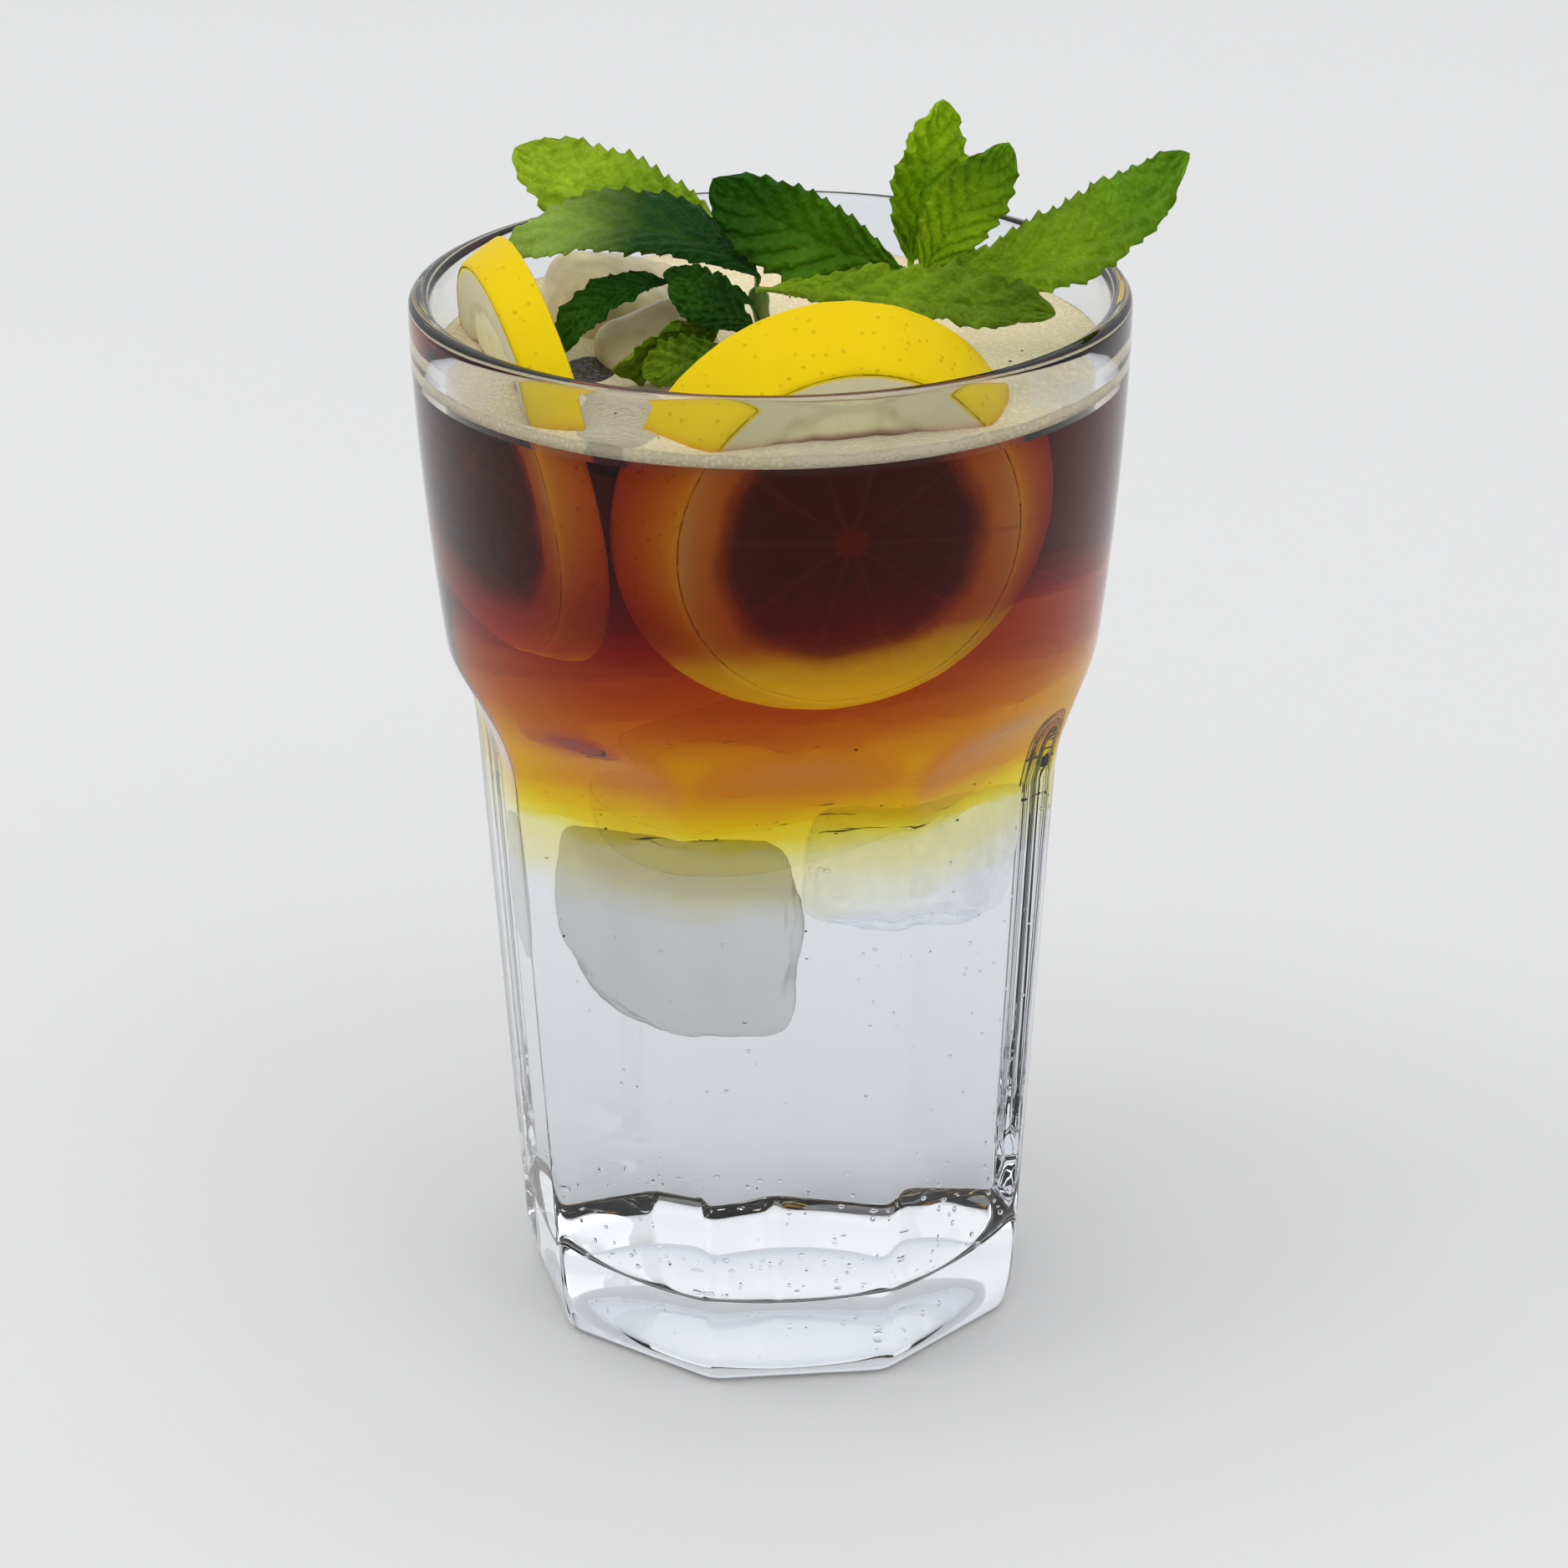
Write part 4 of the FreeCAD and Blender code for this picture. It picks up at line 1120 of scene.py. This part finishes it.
def build_fizz():
    """Strews grains over hidden surfaces. Density is for each square metre, sizes are radii in metres."""
    bubble = Finish("fizz_bubble", base_color=(1.0, 1.0, 1.0), roughness=0.0, ior=1.3,
                    transmission_weight=1.0)
    bubble.set(normal=bubble.bump(bubble.noise(400.0), 0.05, 0.0001))
    speck = Finish("coffee_speck", roughness=0.7)
    speck.set(base_color=speck.mix(speck.noise(900.0), (0.012, 0.006, 0.003), (0.05, 0.025, 0.012)))
    wall = open_band(lambda z: bore_radius(z) - 0.5, range(14, 75, 5))
    band = open_band(lambda z: bore_radius(z) - 0.45, range(58, 91, 8))
    floor = disc(27.0, FLOOR_HEIGHT + 0.6)
    skin = disc(38.0, CREMA_TOP + 0.02)
    strewn = (
        ("fizz_on_wall", wall, bubble, "tonic", 9000.0, 4, (0.00012,) * 3, (0.00036,) * 3),
        ("fizz_on_floor", floor, bubble, "tonic", 26000.0, 7, (0.00018,) * 3, (0.00055,) * 3),
        ("specks_in_drink", band, speck, "espresso", 1500.0, 3, (0.00012, 0.0001, 0.0001),
         (0.00036, 0.00026, 0.0002)),
        ("specks_on_crema", skin, speck, "espresso", 9000.0, 5, (0.00008, 0.00008, 0.00005),
         (0.00028, 0.00022, 0.00012)),
    )
    tree, keys = scatter_tree()
    for name, surface, finish, slot, density, seed, smallest, largest in strewn:
        piece = blank_piece(name, *surface)
        apply_tree(piece, tree, keys, {"Density": density, "Seed": seed, "Smallest": smallest,
                                       "Largest": largest, "Material": finish.material})
        declare(piece, slot)


# ---- the stage ----

def area_lamp(name, place, aim, size, power, colour):
    lamp = bpy.data.lights.new(name, "AREA")
    lamp.shape = "DISK"
    lamp.size = size
    lamp.energy = power
    lamp.color = colour
    holder = bpy.data.objects.new(name, lamp)
    holder.location = place
    holder.rotation_euler = (Vector(aim) - Vector(place)).to_track_quat("-Z", "Y").to_euler()
    bpy.context.scene.collection.objects.link(holder)


def build_stage(stage):
    scene = bpy.context.scene
    scene.view_settings.view_transform = "Standard"
    finish = Finish("pale_floor", roughness=0.9, specular_ior_level=0.1)
    table = tuple(stage.floor)
    finish.set(base_color=finish.mix(finish.noise(3.0, 3.0), tuple(0.97 * c for c in table), table))
    corners = ((-1, -1), (1, -1), (1, 1), (-1, 1))
    points = [(x * FLOOR_SIDE, y * FLOOR_SIDE, FLOOR_LEVEL) for x, y in corners]
    floor = blank_piece("floor", points, [(0, 1, 2, 3)])
    floor.data.materials.append(finish.material)
    floor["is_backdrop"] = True

    world = bpy.data.worlds.new("soft_room")
    world.use_nodes = True
    scene.world = world
    tree = world.node_tree
    tree.nodes.clear()
    way = put(tree, "ShaderNodeTexCoord", output="Generated")
    height = put(tree, "ShaderNodeSeparateXYZ", None, (way,), 2)
    up = height.ramp(0.05, 0.75)
    room = put(tree, "ShaderNodeMix", {"data_type": "RGBA"},
               {0: up, 6: colour4(tuple(stage.horizon)), 7: colour4(tuple(stage.ceiling))}, 2)
    lit = put(tree, "ShaderNodeBackground", None, {"Color": room, "Strength": 1.0})
    pale = put(tree, "ShaderNodeBackground", None, {"Color": colour4((BACKDROP,) * 3), "Strength": 1.0})
    seen = put(tree, "ShaderNodeLightPath", output="Is Camera Ray")
    both = put(tree, "ShaderNodeMixShader", None, (seen, lit, pale))
    output = tree.nodes.new("ShaderNodeOutputWorld")
    tree.links.new(both.socket, output.inputs["Surface"])

    area_lamp("window", (-0.6, -0.15, 1.0), (0, 0, 0.06), 0.7, stage.window_power, (1.0, 0.99, 0.97))
    area_lamp("fill", (0.6, -0.5, 0.9), (0, 0, 0.06), 0.8, stage.fill_power, (0.97, 0.98, 1.0))

    lens = bpy.data.cameras.new("camera")
    lens.sensor_width = 36.0
    lens.lens = CAMERA_LENS
    camera = bpy.data.objects.new("camera", lens)
    scene.collection.objects.link(camera)
    pitch = Matrix.Rotation(math.radians(90 - CAMERA_DOWN), 4, "X")
    roll = Matrix.Rotation(math.radians(CAMERA_ROLL), 4, "Z")
    camera.matrix_world = Matrix.Translation(CAMERA_PLACE) @ pitch @ roll
    scene.camera = camera
    for kind, count in BOUNCES.items():
        setattr(scene.cycles, kind, count)
    scene.cycles.use_denoising = True
    scene.cycles.adaptive_threshold = NOISE_LIMIT


# ---- what a user can change ----

def colour_property(name, default, description):
    return FloatVectorProperty(name=name, description=description, default=default, size=3, min=0, max=1,
                               subtype="COLOR")


def strength_property(name, default):
    return FloatProperty(name=name, description="Light taken for each metre", default=default, min=0)


def power_property(name, default, description):
    return FloatProperty(name=name, description=description, default=default, min=0, unit="POWER")


class GlassSettings(bpy.types.PropertyGroup):
    panel_count: IntProperty(name="Panels", description="Flat panels around the lower wall", default=9,
                             min=5, max=16)
    panel_turn: FloatProperty(name="Panel turn", description="Turn of the panels about the axis",
                              default=math.radians(-4.87), subtype="ANGLE", unit="ROTATION")
    foot_edge: FloatProperty(name="Foot edge", description="Rounding where the foot meets the table",
                             default=0.0009, unit="LENGTH", subtype="DISTANCE")
    edge_sharpness: FloatProperty(name="Edge sharpness", description="How crisp the panel edges are",
                                  default=80.0, min=20, max=300)


class DrinkSettings(bpy.types.PropertyGroup):
    tonic: colour_property("Tonic", (0.93, 0.93, 0.985), "What tonic water lets through")
    tonic_strength: strength_property("Tonic strength", 3.0)
    pale: colour_property("Pale", (0.98, 0.93, 0.35), "What the lowest blend lets through")
    pale_strength: strength_property("Pale strength", 42.0)
    gold: colour_property("Gold", (0.975, 0.90, 0.0), "What the golden blend lets through")
    gold_strength: strength_property("Gold strength", 200.0)
    amber: colour_property("Amber", (0.92, 0.78, 0.0), "What the amber blend lets through")
    amber_strength: strength_property("Amber strength", 155.0)
    espresso: colour_property("Espresso", (0.86, 0.32, 0.03), "What the coffee lets through")
    espresso_strength: strength_property("Espresso strength", 190.0)


class GarnishSettings(bpy.types.PropertyGroup):
    pulp: colour_property("Pulp", (0.80, 0.70, 0.25), "Lemon pulp in the tonic")
    soaked_pulp: colour_property("Soaked pulp", (0.24, 0.07, 0.02), "Lemon pulp full of coffee")
    foamy_ice: colour_property("Foamy ice", (0.95, 0.80, 0.46), "Ice with foam on it")
    frosted_ice: colour_property("Frosted ice", (0.97, 0.975, 0.97), "Cloudy ice in the tonic")


class StageSettings(bpy.types.PropertyGroup):
    floor: colour_property("Floor", (0.77, 0.77, 0.77), "The table")
    horizon: colour_property("Horizon", (0.70, 0.73, 0.78), "The room around the glass")
    ceiling: colour_property("Ceiling", (1.0, 1.0, 1.0), "The room above the glass")
    window_power: power_property("Window", 1.5, "Power of the window lamp")
    fill_power: power_property("Fill", 1.0, "Power of the fill lamp")


class TONIC_OT_glass(bpy.types.Operator):
    """Presses the panels into the glass"""
    bl_idname = "tonic.glass"
    bl_label = "Glass"

    def execute(self, context):
        build_glass(context.scene.tonic_glass)
        return {"FINISHED"}


class TONIC_OT_drink(bpy.types.Operator):
    """Fills the glass with tonic, the blends and espresso"""
    bl_idname = "tonic.drink"
    bl_label = "Drink"

    def execute(self, context):
        build_drink(context.scene.tonic_drink)
        return {"FINISHED"}


class TONIC_OT_crema(bpy.types.Operator):
    """Lays the foam on the drink"""
    bl_idname = "tonic.crema"
    bl_label = "Crema"

    def execute(self, context):
        build_crema()
        return {"FINISHED"}


class TONIC_OT_lemon(bpy.types.Operator):
    """Stands and sinks the lemon slices"""
    bl_idname = "tonic.lemon"
    bl_label = "Lemon"

    def execute(self, context):
        build_lemon(context.scene.tonic_garnish)
        return {"FINISHED"}


class TONIC_OT_ice(bpy.types.Operator):
    """Drops in the ice"""
    bl_idname = "tonic.ice"
    bl_label = "Ice"

    def execute(self, context):
        build_ice(context.scene.tonic_garnish)
        return {"FINISHED"}


class TONIC_OT_mint(bpy.types.Operator):
    """Sets the mint leaves and their stems"""
    bl_idname = "tonic.mint"
    bl_label = "Mint"

    def execute(self, context):
        blade = mint_finish()
        for name in LEAVES:
            build_leaf(name, blade)
        stalk = stem_finish()
        for key in STEMS:
            build_stem(key, stalk)
        return {"FINISHED"}


class TONIC_OT_fizz(bpy.types.Operator):
    """Strews bubbles and coffee specks"""
    bl_idname = "tonic.fizz"
    bl_label = "Bubbles and specks"

    def execute(self, context):
        build_fizz()
        return {"FINISHED"}


class TONIC_OT_stage(bpy.types.Operator):
    """Sets the floor, the light and the camera"""
    bl_idname = "tonic.stage"
    bl_label = "Stage"

    def execute(self, context):
        build_stage(context.scene.tonic_stage)
        return {"FINISHED"}


OPERATORS = (TONIC_OT_glass, TONIC_OT_drink, TONIC_OT_crema, TONIC_OT_lemon, TONIC_OT_ice, TONIC_OT_mint,
             TONIC_OT_fizz, TONIC_OT_stage)


class TONIC_PT_panel(bpy.types.Panel):
    bl_label = "Espresso tonic"
    bl_space_type = "VIEW_3D"
    bl_region_type = "UI"
    bl_category = "Espresso tonic"

    def draw(self, context):
        for operator in OPERATORS:
            self.layout.operator(operator.bl_idname)


GROUPS = {
    "tonic_glass": GlassSettings,
    "tonic_drink": DrinkSettings,
    "tonic_garnish": GarnishSettings,
    "tonic_stage": StageSettings,
}


CLASSES = (*GROUPS.values(), *OPERATORS, TONIC_PT_panel)


def register():
    for cls in CLASSES:
        bpy.utils.register_class(cls)
    for name, group in GROUPS.items():
        setattr(bpy.types.Scene, name, PointerProperty(type=group))


def unregister():
    for name in GROUPS:
        delattr(bpy.types.Scene, name)
    for cls in reversed(CLASSES):
        bpy.utils.unregister_class(cls)


def main():
    register()
    for operator in OPERATORS:
        getattr(bpy.ops.tonic, operator.bl_idname.split(".")[1])()
    corners = {"cad": CAD_BOX, "visual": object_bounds()}
    {key: [list(map(float, c)) for c in box] for key, box in corners.items()}


if __name__ == "__main__":
    main()
